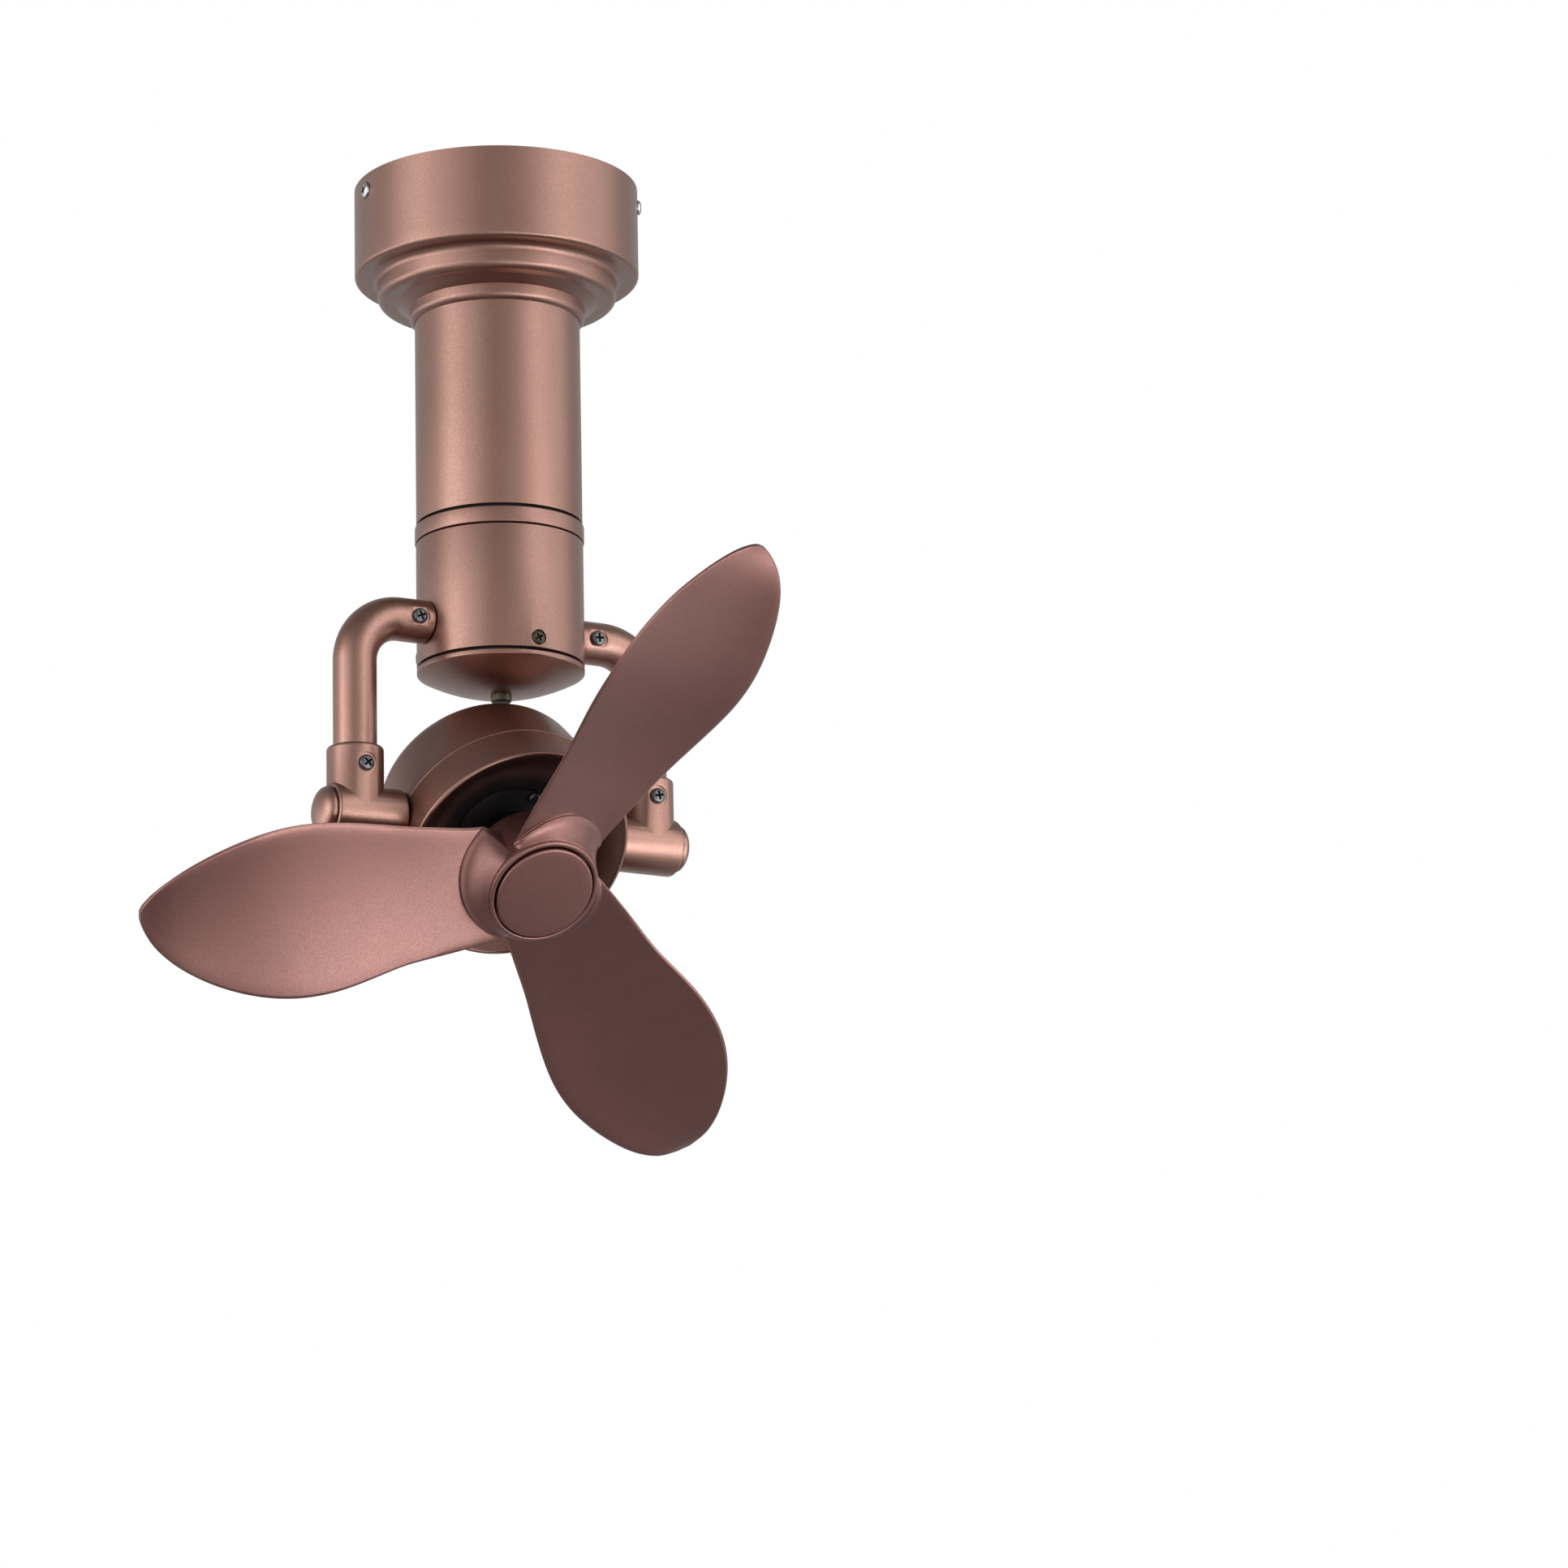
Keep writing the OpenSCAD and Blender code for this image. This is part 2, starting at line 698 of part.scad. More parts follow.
module swivel_pinion() {
  color(brass) translate([gear_centres, 0, gear_low_z]) {
    rotate([0, 0, 180 / pinion_teeth + 180]) linear_extrude(gear_w) gear_outline(pinion_teeth);
    translate([0, 0, gear_w]) cylinder(r = pinion_shaft_r,
      h = bulkhead_low_z - gear_low_z - gear_w + pinion_shaft_l - cut - loose);
  }
}

module swivel_gear() {
  color(white) translate([0, 0, gear_low_z]) difference() {
    linear_extrude(gear_w) gear_outline(gear_teeth);
    translate([0, 0, -cut]) cylinder(r = hub_sleeve_r, h = gear_w + 2 * cut);
  }
}

// The ring between stem and housing, with the sleeve that turns on the spindle
module swivel_ring() {
  sleeve_top = gear_low_z + gear_w;
  sleeve_low = ring_top_z - hub_sleeve_l;
  skirt_r = stem_in_r - loose - slip;
  web_z = ring_low_z;
  color(bronze) difference() {
    union() {
      translate([0, 0, ring_low_z]) cylinder(r = ring_r, h = ring_h);
      translate([0, 0, ring_low_z])
        cylinder(r = skirt_r, h = ring_h + groove_w + loose + gear_over_ring / 2);
      translate([0, 0, housing_top_z]) cylinder(r = housing_in_r - slip, h = groove_w + cut);
      translate([0, 0, sleeve_low]) cylinder(r = hub_sleeve_r, h = sleeve_top - sleeve_low);
    }
    // Room above the web, between sleeve and skirt
    difference() {
      translate([0, 0, web_z + hub_web_t])
        cylinder(r = skirt_r - hub_skirt_t, h = ring_h + stem_wall + cut + gear_w);
      translate([0, 0, web_z]) cylinder(r = hub_sleeve_r, h = sleeve_top - web_z + cut);
    }
    // Seats of the two bearings, with a lip between them
    translate([0, 0, sleeve_top - bearing_w]) cylinder(r = bearing_out_r, h = bearing_w + cut);
    translate([0, 0, sleeve_low - cut]) cylinder(r = bearing_out_r, h = bearing_w + cut);
    translate([0, 0, sleeve_low]) cylinder(r = bearing_out_r - sleeve_lip_t, h = sleeve_top - sleeve_low);
    at_ring_screws() cylinder(r = small_shank_r + thread_gap, h = ring_screw_l + thread_gap);
  }
}

// Places its children on the circle of screws that join the ring to the housing
module at_ring_screws() {
  for (i = [0:ring_screw_count - 1]) rotate([0, 0, ring_screw_turn + i * 360 / ring_screw_count])
    translate([ring_screw_r, 0, housing_top_z - ledge_t]) children();
}

module ring_screws() {
  color(steel) at_ring_screws() rotate([180, 0, 0])
    screw(small_head_r, small_head_h, small_shank_r, ring_screw_l);
}

module swivel_bearings() {
  sleeve_top = gear_low_z + gear_w;
  sleeve_low = ring_top_z - hub_sleeve_l;
  color(steel) for (low = [sleeve_top - bearing_w, sleeve_low]) translate([0, 0, low]) difference() {
    cylinder(r = bearing_out_r, h = bearing_w);
    translate([0, 0, -cut]) cylinder(r = spindle_r + run_gap, h = bearing_w + 2 * cut);
  }
}

module lower_housing() {
  color(bronze) difference() {
    translate([0, 0, housing_low_z]) cylinder(r = housing_r, h = housing_h);
    translate([0, 0, housing_low_z - cut]) cylinder(r = housing_in_r, h = housing_h - ledge_t + cut);
    translate([0, 0, housing_top_z - ledge_t - cut]) cylinder(r = ledge_in_r, h = ledge_t + 2 * cut);
    at_ring_screws() translate([0, 0, -cut]) cylinder(r = small_shank_r + thread_gap, h = ledge_t + 2 * cut);
    for (side = [0, 180]) rotate([0, 0, side]) translate([0, 0, arm_z]) rotate([0, 90, 0])
      cylinder(r = spigot_r + run_gap, h = housing_r + cut);
    for (i = [0:dome_screw_count - 1])
      out_of_circle(housing_in_r - cut, i * 360 / dome_screw_count - 90, housing_low_z + dome_screw_up)
        cylinder(r = small_shank_r + thread_gap, h = housing_wall + 2 * cut);
  }
}

module housing_screws() {
  color(dark_steel) for (i = [0:dome_screw_count - 1])
    out_of_circle(housing_r + slip, i * 360 / dome_screw_count - 90, housing_low_z + dome_screw_up)
      screw(housing_head_r, small_head_h, small_shank_r, dome_screw_l);
}

// Hollow studs that stand out of the housing and carry the arms
module arm_spigots() {
  start_x = housing_in_r - spigot_in - spigot_flange_t;
  color(steel) for (side = [0, 1]) mirror([side, 0, 0]) difference() {
    union() {
      translate([start_x, 0, arm_z]) rotate([0, 90, 0]) cylinder(r = spigot_flange_r, h = spigot_flange_t);
      translate([start_x, 0, arm_z]) rotate([0, 90, 0])
        cylinder(r = spigot_r, h = spigot_end - start_x);
    }
    translate([start_x - cut, 0, arm_z]) rotate([0, 90, 0])
      cylinder(r = spigot_r - spigot_wall, h = spigot_end - start_x + 2 * cut);
    arm_screw_hole();
  }
}

// Clearance for the screw in the front of the +X arm
module arm_screw_hole() {
  translate([housing_r + arm_screw_out, 0, arm_z]) rotate([90, 0, 0])
    cylinder(r = arm_shank_r + thread_gap, h = arm_r + cut);
}

// A flat seat sunk into the front of a tube for a screw's head
module spot_face(tube_r, depth) {
  translate([0, -tube_r + depth, 0]) rotate([90, 0, 0]) cylinder(r = spot_r, h = depth + cut);
}

module arm() {
  foot_z = pivot_z + socket_floor;
  difference() {
    union() {
      translate([0, 0, arm_z]) rotate([0, 90, 0]) cylinder(r = arm_r, h = arm_x - bend_r);
      translate([arm_x - bend_r, 0, arm_z - bend_r]) rotate([90, 0, 0])
        rotate_extrude(angle = 90) translate([bend_r, 0]) circle(r = arm_r);
      translate([arm_x, 0, arm_z - bend_r]) rotate([180, 0, 0])
        cylinder(r = arm_r, h = arm_z - bend_r - foot_z);
    }
    translate([-cut, 0, arm_z]) rotate([0, 90, 0]) cylinder(r = arm_in_r, h = arm_x - bend_r + cut);
    translate([arm_x - bend_r, 0, arm_z - bend_r]) rotate([90, 0, 0])
      rotate_extrude(angle = 90) translate([bend_r, 0]) circle(r = arm_in_r);
    translate([arm_x, 0, arm_z - bend_r]) rotate([180, 0, 0])
      cylinder(r = arm_in_r, h = arm_z - bend_r - foot_z + cut);
    translate([0, 0, arm_z - 2 * arm_d]) cylinder(r = housing_r, h = 4 * arm_d);
    arm_screw_hole();
    translate([housing_r + arm_screw_out, 0, arm_z]) spot_face(arm_r, arm_spot);
    translate([arm_x, 0, pivot_z + socket_screw_up]) rotate([90, 0, 0])
      cylinder(r = arm_shank_r + thread_gap, h = arm_r + cut);
  }
}

module arm_left() { color(bronze) mirror([1, 0, 0]) arm(); }

module arm_right() { color(bronze) arm(); }

module arm_screws() {
  color(dark_steel) for (side = [-1, 1])
    translate([side * (housing_r + arm_screw_out), -arm_r + arm_spot, arm_z]) rotate([90, 0, 0])
      screw(arm_head_r, arm_head_h, arm_shank_r, arm_screw_l);
}

// An upright socket over a level pivot barrel
module pivot_socket() {
  top_z = pivot_z + socket_h;
  barrel_start = head_r + barrel_gap;
  difference() {
    union() {
      translate([arm_x, 0, pivot_z]) rotate_extrude() polygon(concat([[0, 0], [socket_r, 0]],
        arc(socket_r - socket_round, socket_h - socket_round, socket_round, 0, 90, arc_steps),
        [[0, socket_h]]));
      translate([barrel_start, 0, pivot_z]) rotate([0, 90, 0]) rotate_extrude()
        polygon([[0, 0], [barrel_r - barrel_round, 0], [barrel_r, barrel_round],
          [barrel_r, barrel_end - barrel_start - barrel_round],
          [barrel_r - barrel_round, barrel_end - barrel_start], [0, barrel_end - barrel_start]]);
    }
    translate([arm_x, 0, pivot_z + socket_floor]) cylinder(r = arm_r + run_gap, h = socket_h);
    translate([arm_x, 0, pivot_z]) cylinder(r = wire_path_r, h = socket_h);
    translate([barrel_start - cut, 0, pivot_z]) rotate([0, 90, 0])
      cylinder(r = pin_bore_r, h = barrel_end - barrel_start + 2 * cut);
    translate([barrel_end - counterbore_l, 0, pivot_z]) rotate([0, 90, 0])
      cylinder(r = counterbore_r, h = counterbore_l + cut);
    translate([arm_x, 0, pivot_z + socket_screw_up]) {
      rotate([90, 0, 0]) cylinder(r = arm_shank_r + thread_gap, h = socket_r + cut);
      spot_face(socket_r, socket_spot);
    }
  }
}

module pivot_socket_left() { color(bronze) mirror([1, 0, 0]) pivot_socket(); }

module pivot_socket_right() { color(bronze) pivot_socket(); }

module socket_screws() {
  color(dark_steel) for (side = [-1, 1])
    translate([side * arm_x, -socket_r + socket_spot, pivot_z + socket_screw_up]) rotate([90, 0, 0])
      screw(arm_head_r, arm_head_h, arm_shank_r, socket_r - socket_spot - arm_in_r + cut);
}

// A domed plug that closes the barrel's outer end
module pivot_cap() {
  color(bronze) translate([barrel_end, 0, pivot_z]) rotate([0, 90, 0]) difference() {
    rotate_extrude() polygon(concat([[0, -cap_plug_l], [counterbore_r - slip, -cap_plug_l],
        [counterbore_r - slip, 0], [cap_r, 0]],
      [for (i = [0:2 * arc_steps]) let (a = i * 90 / (2 * arc_steps))
        [cap_r * cos(a), cap_l / 4 + (cap_l - cap_l / 4) * sin(a)]]));
    translate([0, 0, -cap_plug_l - cut]) cylinder(r = counterbore_r - cap_plug_hollow, h = cap_plug_l + cut);
  }
}

module pivot_cap_left() { mirror([1, 0, 0]) pivot_cap(); }

module pivot_cap_right() { pivot_cap(); }

module dome_cap() {
  lip_top = housing_low_z - groove_w;
  lip_low = lip_top - dome_lip_h;
  low_z = housing_low_z - dome_h;
  outer = concat(arc(housing_r - dome_edge_r, lip_low, dome_edge_r, 0, -dome_edge_turn, arc_steps),
    [for (i = [1:arc_steps]) let (r = (housing_r - dome_edge_r / 2) * (1 - i / arc_steps),
        start = lip_low - dome_edge_r * sin(dome_edge_turn))
      [r, low_z + (start - low_z) * pow(r / (housing_r - dome_edge_r / 2), 2)]]);
  color(bronze) difference() {
    union() {
      rotate_extrude() polygon(concat([[0, lip_top], [housing_r, lip_top]], outer));
      translate([0, 0, lip_top - cut / 2]) difference() {
        cylinder(r = housing_in_r - slip, h = dome_collar_h);
        translate([0, 0, -cut])
          cylinder(r = housing_in_r - slip - dome_collar_t, h = dome_collar_h + 2 * cut);
      }
    }
    rotate_extrude() polygon(concat(
      [[0, lip_top + cut], [housing_in_r - dome_collar_t - slip, lip_top + cut]],
      [for (p = outer) if (p[0] <= housing_in_r - dome_collar_t - slip) [p[0], p[1] + dome_wall]]));
    translate([0, 0, low_z - cut]) cylinder(r = dome_nut_shank_r + thread_gap, h = dome_h);
    for (i = [0:dome_screw_count - 1])
      out_of_circle(housing_in_r - dome_collar_t - cut, i * 360 / dome_screw_count - 90,
        housing_low_z + dome_screw_up) cylinder(r = small_shank_r + thread_gap, h = dome_collar_t + 2 * cut);
  }
}

module dome_nut() {
  low_z = housing_low_z - dome_h;
  color(brass) difference() {
    union() {
      translate([0, 0, low_z - dome_nut_h]) cylinder(r = dome_nut_r, h = dome_nut_h);
      translate([0, 0, low_z - slip]) cylinder(r = dome_nut_shank_r, h = dome_nut_shank_l);
      translate([0, 0, low_z + dome_wall + loose + slip]) cylinder(r = dome_washer_r, h = dome_washer_t);
    }
    translate([0, 0, low_z - dome_nut_h - cut]) cylinder(r = dome_nut_shank_r / 2, h = dome_nut_h + cut);
  }
}

// A flanged pivot pin, trapped between the shells by its collar. A flat keys it under the front web.
module trunnion() {
  boss_start = trunnion_face - trunnion_boss_l;
  pin_end = barrel_end - counterbore_l + loose + nut_washer_t + nut_h + pin_tail;
  color(dark_steel) difference() {
    translate([0, 0, pivot_z]) rotate([0, 90, 0]) rotate_extrude() polygon([
      [0, boss_start - trunnion_collar_t], [trunnion_collar_r, boss_start - trunnion_collar_t],
      [trunnion_collar_r, boss_start], [trunnion_boss_r, boss_start], [trunnion_boss_r, trunnion_face],
      [pin_r, trunnion_face], [pin_r, pin_end], [0, pin_end]]);
    translate([boss_start - trunnion_collar_t - cut, 0, pivot_z]) rotate([0, 90, 0])
      cylinder(r = pin_hollow_r, h = pin_end);
    head_frame() translate([0, -trunnion_collar_r - cut, recess_floor_s - recess_web_t - loose])
      cube([trunnion_face - trunnion_round_l, 2 * (trunnion_collar_r + cut), trunnion_collar_r]);
  }
}

module trunnion_left() { mirror([1, 0, 0]) trunnion(); }

module trunnion_right() { trunnion(); }

module pivot_washers() {
  color(black) for (side = [0, 1]) mirror([side, 0, 0])
    translate([trunnion_face, 0, pivot_z]) rotate([0, 90, 0]) difference() {
      cylinder(r = washer_r, h = washer_t);
      translate([0, 0, -cut]) cylinder(r = pin_r, h = washer_t + 2 * cut);
    }
}

module pivot_nuts() {
  start = barrel_end - counterbore_l + loose;
  color(steel) for (side = [0, 1]) mirror([side, 0, 0])
    translate([start, 0, pivot_z]) rotate([0, 90, 0]) difference() {
      union() {
        cylinder(r = nut_washer_r, h = nut_washer_t);
        translate([0, 0, nut_washer_t]) cylinder(r = nut_r, h = nut_h, $fn = hex_sides);
      }
      translate([0, 0, -cut]) cylinder(r = pin_r, h = nut_h + nut_washer_t + 2 * cut);
    }
}

// Cuts the round side holes that the trunnions pass through, from a distance out to the sides
module trunnion_holes(from_x) {
  for (side = [0, 1]) mirror([side, 0, 0]) translate([from_x - slip, 0, 0]) rotate([0, 90, 0])
    cylinder(r = trunnion_boss_r + slip, h = head_r - from_x + cut);
}

// Places its children on the circle of screws that join the shells
module at_shell_screws() {
  for (i = [0:shell_screw_count - 1]) rotate([0, 0, shell_screw_turn + i * 360 / shell_screw_count])
    translate([shell_screw_circle_r, 0, 0]) children();
}

// The recess as a bowl: its face, and the back of its wall up to the drum's inside
bowl_r = head_in_r - recess_round;
bowl_s = recess_floor_s + recess_round;
bowl_back_turn = acos(recess_round / (recess_round + recess_web_t));
bowl_face = arc(bowl_r, bowl_s, recess_round, 0, -90, bowl_steps);
bowl_back = arc(bowl_r, bowl_s, recess_round + recess_web_t, -90, -bowl_back_turn, arc_steps);

module motor_front_shell() {
  color(bronze) head_frame() difference() {
    union() {
      rotate_extrude() polygon(concat([[head_in_r, seam_s], [head_r, seam_s]],
        arc(head_r - rim_round / 2, front_shell_l - rim_round / 2, rim_round / 2, 0, 90, arc_steps),
        arc(head_in_r + rim_round / 2, front_shell_l - rim_round / 2, rim_round / 2, 90, 180, arc_steps),
        bowl_face, [[bearing_boss_r, recess_floor_s], [bearing_boss_r, recess_floor_s - recess_web_t]],
        bowl_back));
      translate([0, 0, front_bearing_s - bearing_shoulder])
        cylinder(r = bearing_boss_r + bearing_shoulder, h = motor_bearing_w + bearing_shoulder);
      intersection() {
        at_shell_screws() translate([0, 0, seam_s]) cylinder(r = shell_screw_boss_r, h = bowl_s);
        rotate_extrude() polygon(concat([[head_in_r, seam_s]], bowl_face, [[bowl_r - recess_web_t, seam_s]]));
      }
    }
    translate([0, 0, front_bearing_s]) cylinder(r = motor_bearing_r, h = motor_bearing_w + recess_floor_s);
    translate([0, 0, front_bearing_s - 2 * bearing_shoulder])
      cylinder(r = motor_bearing_r - bearing_shoulder, h = motor_bearing_w + recess_floor_s);
    at_shell_screws() translate([0, 0, seam_s - cut])
      cylinder(r = small_shank_r + thread_gap, h = recess_floor_s - recess_web_t + cut);
    for (i = [0:plate_screw_count - 1]) rotate([0, 0, plate_screw_turn + i * 360 / plate_screw_count])
      translate([plate_screw_circle_r, 0, recess_floor_s - recess_web_t - cut])
        cylinder(r = small_shank_r + thread_gap, h = recess_web_t + 2 * cut);
    trunnion_holes(trunnion_face - trunnion_round_l);
  }
}

// The rear shell's outline: a slightly tapered drum that closes in a half ellipse
function rear_outline(g) = let (
    r0 = head_r - seam_step + g,
    r1 = head_r * rear_r_share + g,
    s1 = -rear_shell_l * rear_straight_share,
    deep = rear_shell_l * (1 - rear_straight_share) + g)
  concat([[r0, seam_s]],
    [for (i = [0:rear_steps]) let (a = i * 90 / rear_steps) [r1 * cos(a), s1 - deep * sin(a)]]);

module motor_rear_shell() {
  boss_back = rear_bearing_s - bearing_shoulder;
  color(bronze) head_frame() difference() {
    union() {
      difference() {
        rotate_extrude() polygon(concat([[0, seam_s]], rear_outline(0)));
        rotate_extrude() polygon(concat([[0, seam_s + cut], [head_r - seam_step - shell_wall, seam_s + cut]],
          rear_outline(-shell_wall)));
      }
      intersection() {
        rotate_extrude() polygon(concat([[0, seam_s]], rear_outline(-shell_wall / 2)));
        union() {
          translate([0, 0, -rear_shell_l])
            cylinder(r = bearing_boss_r, h = rear_shell_l + rear_bearing_s + motor_bearing_w);
          at_shell_screws() translate([0, 0, -rear_shell_l])
            cylinder(r = shell_screw_boss_r + shell_wall,
              h = rear_shell_l + shell_screw_floor_s + shell_boss_deep);
          for (i = [0:rib_count - 1]) rotate([0, 0, rib_turn + i * 360 / rib_count])
            translate([stator_r, -rib_t / 2, stator_back]) cube([head_r - stator_r, rib_t, stator_l]);
          for (side = [0, 1]) mirror([side, 0, 0]) translate([trunnion_face - trunnion_boss_l, 0, 0])
            rotate([0, 90, 0]) cylinder(r = trunnion_collar_r, h = trunnion_boss_l + cut);
        }
      }
    }
    translate([0, 0, rear_bearing_s]) cylinder(r = motor_bearing_r, h = motor_bearing_w + cut);
    translate([0, 0, boss_back]) cylinder(r = motor_bearing_r - bearing_shoulder, h = motor_bearing_w);
    at_shell_screws() {
      translate([0, 0, -rear_shell_l])
        cylinder(r = shell_screw_pocket_r, h = rear_shell_l + shell_screw_floor_s);
      translate([0, 0, shell_screw_floor_s - cut])
        cylinder(r = small_shank_r + thread_gap, h = shell_boss_deep + 2 * cut);
    }
    translate([0, 0, stator_back]) cylinder(r = stator_r + run_gap, h = stator_l + cut);
    trunnion_holes(trunnion_face - trunnion_boss_l);
  }
}

module shell_screws() {
  color(dark_steel) head_frame() at_shell_screws() translate([0, 0, shell_screw_floor_s])
    rotate([180, 0, 0]) screw(shell_screw_head_r, small_head_h, small_shank_r, shell_screw_l);
}

module front_plate() {
  color(black) head_frame() difference() {
    translate([0, 0, recess_floor_s]) cylinder(r = plate_out_r, h = plate_t);
    translate([0, 0, recess_floor_s - cut]) cylinder(r = plate_in_r, h = plate_t + 2 * cut);
    for (i = [0:plate_screw_count - 1]) rotate([0, 0, plate_screw_turn + i * 360 / plate_screw_count])
      translate([plate_screw_circle_r, 0, recess_floor_s - cut])
        cylinder(r = small_shank_r + thread_gap, h = plate_t + 2 * cut);
  }
}

module front_plate_screws() {
  color(steel) head_frame() for (i = [0:plate_screw_count - 1])
    rotate([0, 0, plate_screw_turn + i * 360 / plate_screw_count])
      translate([plate_screw_circle_r, 0, recess_floor_s + plate_t])
        screw(small_head_r, small_head_h, small_shank_r, plate_t + recess_web_t);
}

module stator_core() {
  color(steel) head_frame() translate([0, 0, stator_back]) difference() {
    cylinder(r = stator_r, h = stator_l);
    translate([0, 0, -cut]) cylinder(r = stator_bore_r, h = stator_l + 2 * cut);
    for (i = [0:slot_count - 1]) rotate([0, 0, i * 360 / slot_count])
      translate([slot_in_r, -slot_w / 2, -cut]) cube([slot_out_r - slot_in_r, slot_w, stator_l + 2 * cut]);
  }
}

module stator_windings() {
  color(copper) head_frame() translate([0, 0, stator_back]) {
    for (low = [-winding_over - winding_gap, stator_l + winding_gap]) translate([0, 0, low]) difference() {
      cylinder(r = slot_out_r - winding_gap, h = winding_over);
      translate([0, 0, -cut]) cylinder(r = slot_in_r + winding_gap, h = winding_over + 2 * cut);
    }
    for (i = [0:slot_count - 1]) rotate([0, 0, i * 360 / slot_count])
      translate([slot_in_r + 2 * winding_gap, -slot_w / 2 + winding_gap, -2 * winding_gap])
        cube([slot_out_r - slot_in_r - 4 * winding_gap, slot_w - 2 * winding_gap,
          stator_l + 4 * winding_gap]);
  }
}

module motor_bearing(start) {
  color(steel) head_frame() translate([0, 0, start]) difference() {
    cylinder(r = motor_bearing_r, h = motor_bearing_w);
    translate([0, 0, -cut]) cylinder(r = shaft_r + run_gap, h = motor_bearing_w + 2 * cut);
  }
}

module front_bearing() { motor_bearing(front_bearing_s); }

module rear_bearing() { motor_bearing(rear_bearing_s); }

module rotor_shaft() {
  core_front = stator_back + stator_l;
  color(steel) head_frame() union() {
    translate([0, 0, rear_bearing_s])
      cylinder(r = shaft_r, h = hub_front - hub_pocket + hub_nut_h + cut - rear_bearing_s);
    translate([0, 0, core_front]) cylinder(r = shaft_collar_r, h = shaft_collar_l);
  }
}

module rotor_core() {
  color(dark_steel) head_frame() translate([0, 0, stator_back]) difference() {
    cylinder(r = stator_bore_r - air_gap, h = stator_l);
    translate([0, 0, -cut]) cylinder(r = shaft_r + run_gap, h = stator_l + 2 * cut);
  }
}

module hub() {
  ring_in_r = hub_r - hub_ring_t;
  color(dark_bronze) head_frame() difference() {
    union() {
      rotate_extrude() polygon(concat([[0, hub_back], [hub_r, hub_back]],
        arc(hub_r - hub_ring_round, hub_front - hub_ring_round, hub_ring_round, 0, 90, arc_steps),
        [[0, hub_front]]));
      translate([0, 0, hub_skirt_back]) cylinder(r = hub_skirt_r, h = hub_back - hub_skirt_back + cut);
    }
    difference() {
      translate([0, 0, hub_skirt_back - cut])
        cylinder(r = hub_skirt_r - hub_skirt_wall, h = hub_back - hub_skirt_back - hub_floor_t + cut);
      translate([0, 0, hub_skirt_back]) cylinder(r = hub_boss_r, h = hub_back);
    }
    translate([0, 0, hub_front - hub_recess]) cylinder(r = ring_in_r, h = hub_recess + cut);
    translate([0, 0, hub_front - hub_pocket]) cylinder(r = hub_pocket_r, h = hub_pocket);
    translate([0, 0, hub_skirt_back - cut]) cylinder(r = shaft_r + run_gap, h = hub_front - hub_skirt_back);
    for (i = [0:blade_count - 1]) rotate([0, 0, blade_angle + i * 360 / blade_count]) blade_tongue(slip / 2);
  }
}

module hub_nut() {
  color(steel) head_frame() translate([0, 0, hub_front - hub_pocket]) difference() {
    cylinder(r = hub_nut_r, h = hub_nut_h, $fn = hex_sides);
    translate([0, 0, -cut]) cylinder(r = shaft_r, h = hub_nut_h + 2 * cut);
  }
}

module hub_cap() {
  low = hub_front - hub_recess;
  top = hub_front + hub_cap_proud;
  color(dark_bronze) head_frame() difference() {
    rotate_extrude() polygon(concat([[0, low], [hub_cap_r, low]],
      arc(hub_cap_r - hub_cap_round, top - hub_cap_round, hub_cap_round, 0, 90, arc_steps), [[0, top]]));
    translate([0, 0, low - cut]) cylinder(r = hub_pocket_r, h = top - low - hub_cap_wall + cut);
  }
}

// A smooth curve through the rows of the blade's table
function smooth(a, b, c, d, t) =
  (2 * b + (c - a) * t + (2 * a - 5 * b + 4 * c - d) * t * t + (3 * b - a - 3 * c + d) * t * t * t) / 2;
blade_last = len(blade_shares) - 1;
function row_at(u) = let (i = min(floor(u), blade_last - 1), t = u - i)
  [for (k = [0:4]) sweep_r * smooth(blade_shares[max(i - 1, 0)][k], blade_shares[i][k],
    blade_shares[i + 1][k], blade_shares[min(i + 2, blade_last)][k], t)];

// Places across the blade from -1 at the back edge to 1 at the front edge, closer at the edges
function across(i) = -cos(180 * i / blade_cells);
function fullness(v) = sqrt(max(0, 1 - pow(abs(v), blade_edge_power)));

// One station of a blade: its reach and side place, and the surface's middle, top and bottom there
root_row = row_at(0);
root_half = (root_row[1] - root_row[2]) / 2;
root_mid = (root_row[1] + root_row[2]) / 2;
blade_root_r = hub_r + blade_root_gap;
petal_centre_r = 10;
function foot_side(v) = (petal_foot_front + petal_foot_back) / 2
  + (petal_foot_front - petal_foot_back) / 2 * v;
function ridge_side(v) = root_mid + root_half * v;
function hub_reach(y) = sqrt(blade_root_r * blade_root_r - y * y);
function ridge_reach(v) = petal_centre_r
  + petal_reach * sqrt(max(0, 1 - pow((ridge_side(v) - petal_side) / petal_half_w, 2)));
function root_height(v) = root_row[4] + (root_row[3] - root_row[4]) * (v + 1) / 2;

function petal_point(k, v) = let (
    t = k / petal_cells,
    y = foot_side(v) + (ridge_side(v) - foot_side(v)) * t,
    foot = hub_reach(foot_side(v)),
    x = foot + (max(ridge_reach(v), foot + petal_least) - foot) * t,
    base = root_height(v),
    top = base + petal_step + blade_t / 2
      + (hub_front - petal_drop - base - petal_step - blade_t / 2) * pow(1 - t, petal_curve))
  [x, y, base, top, base - blade_t / 2];

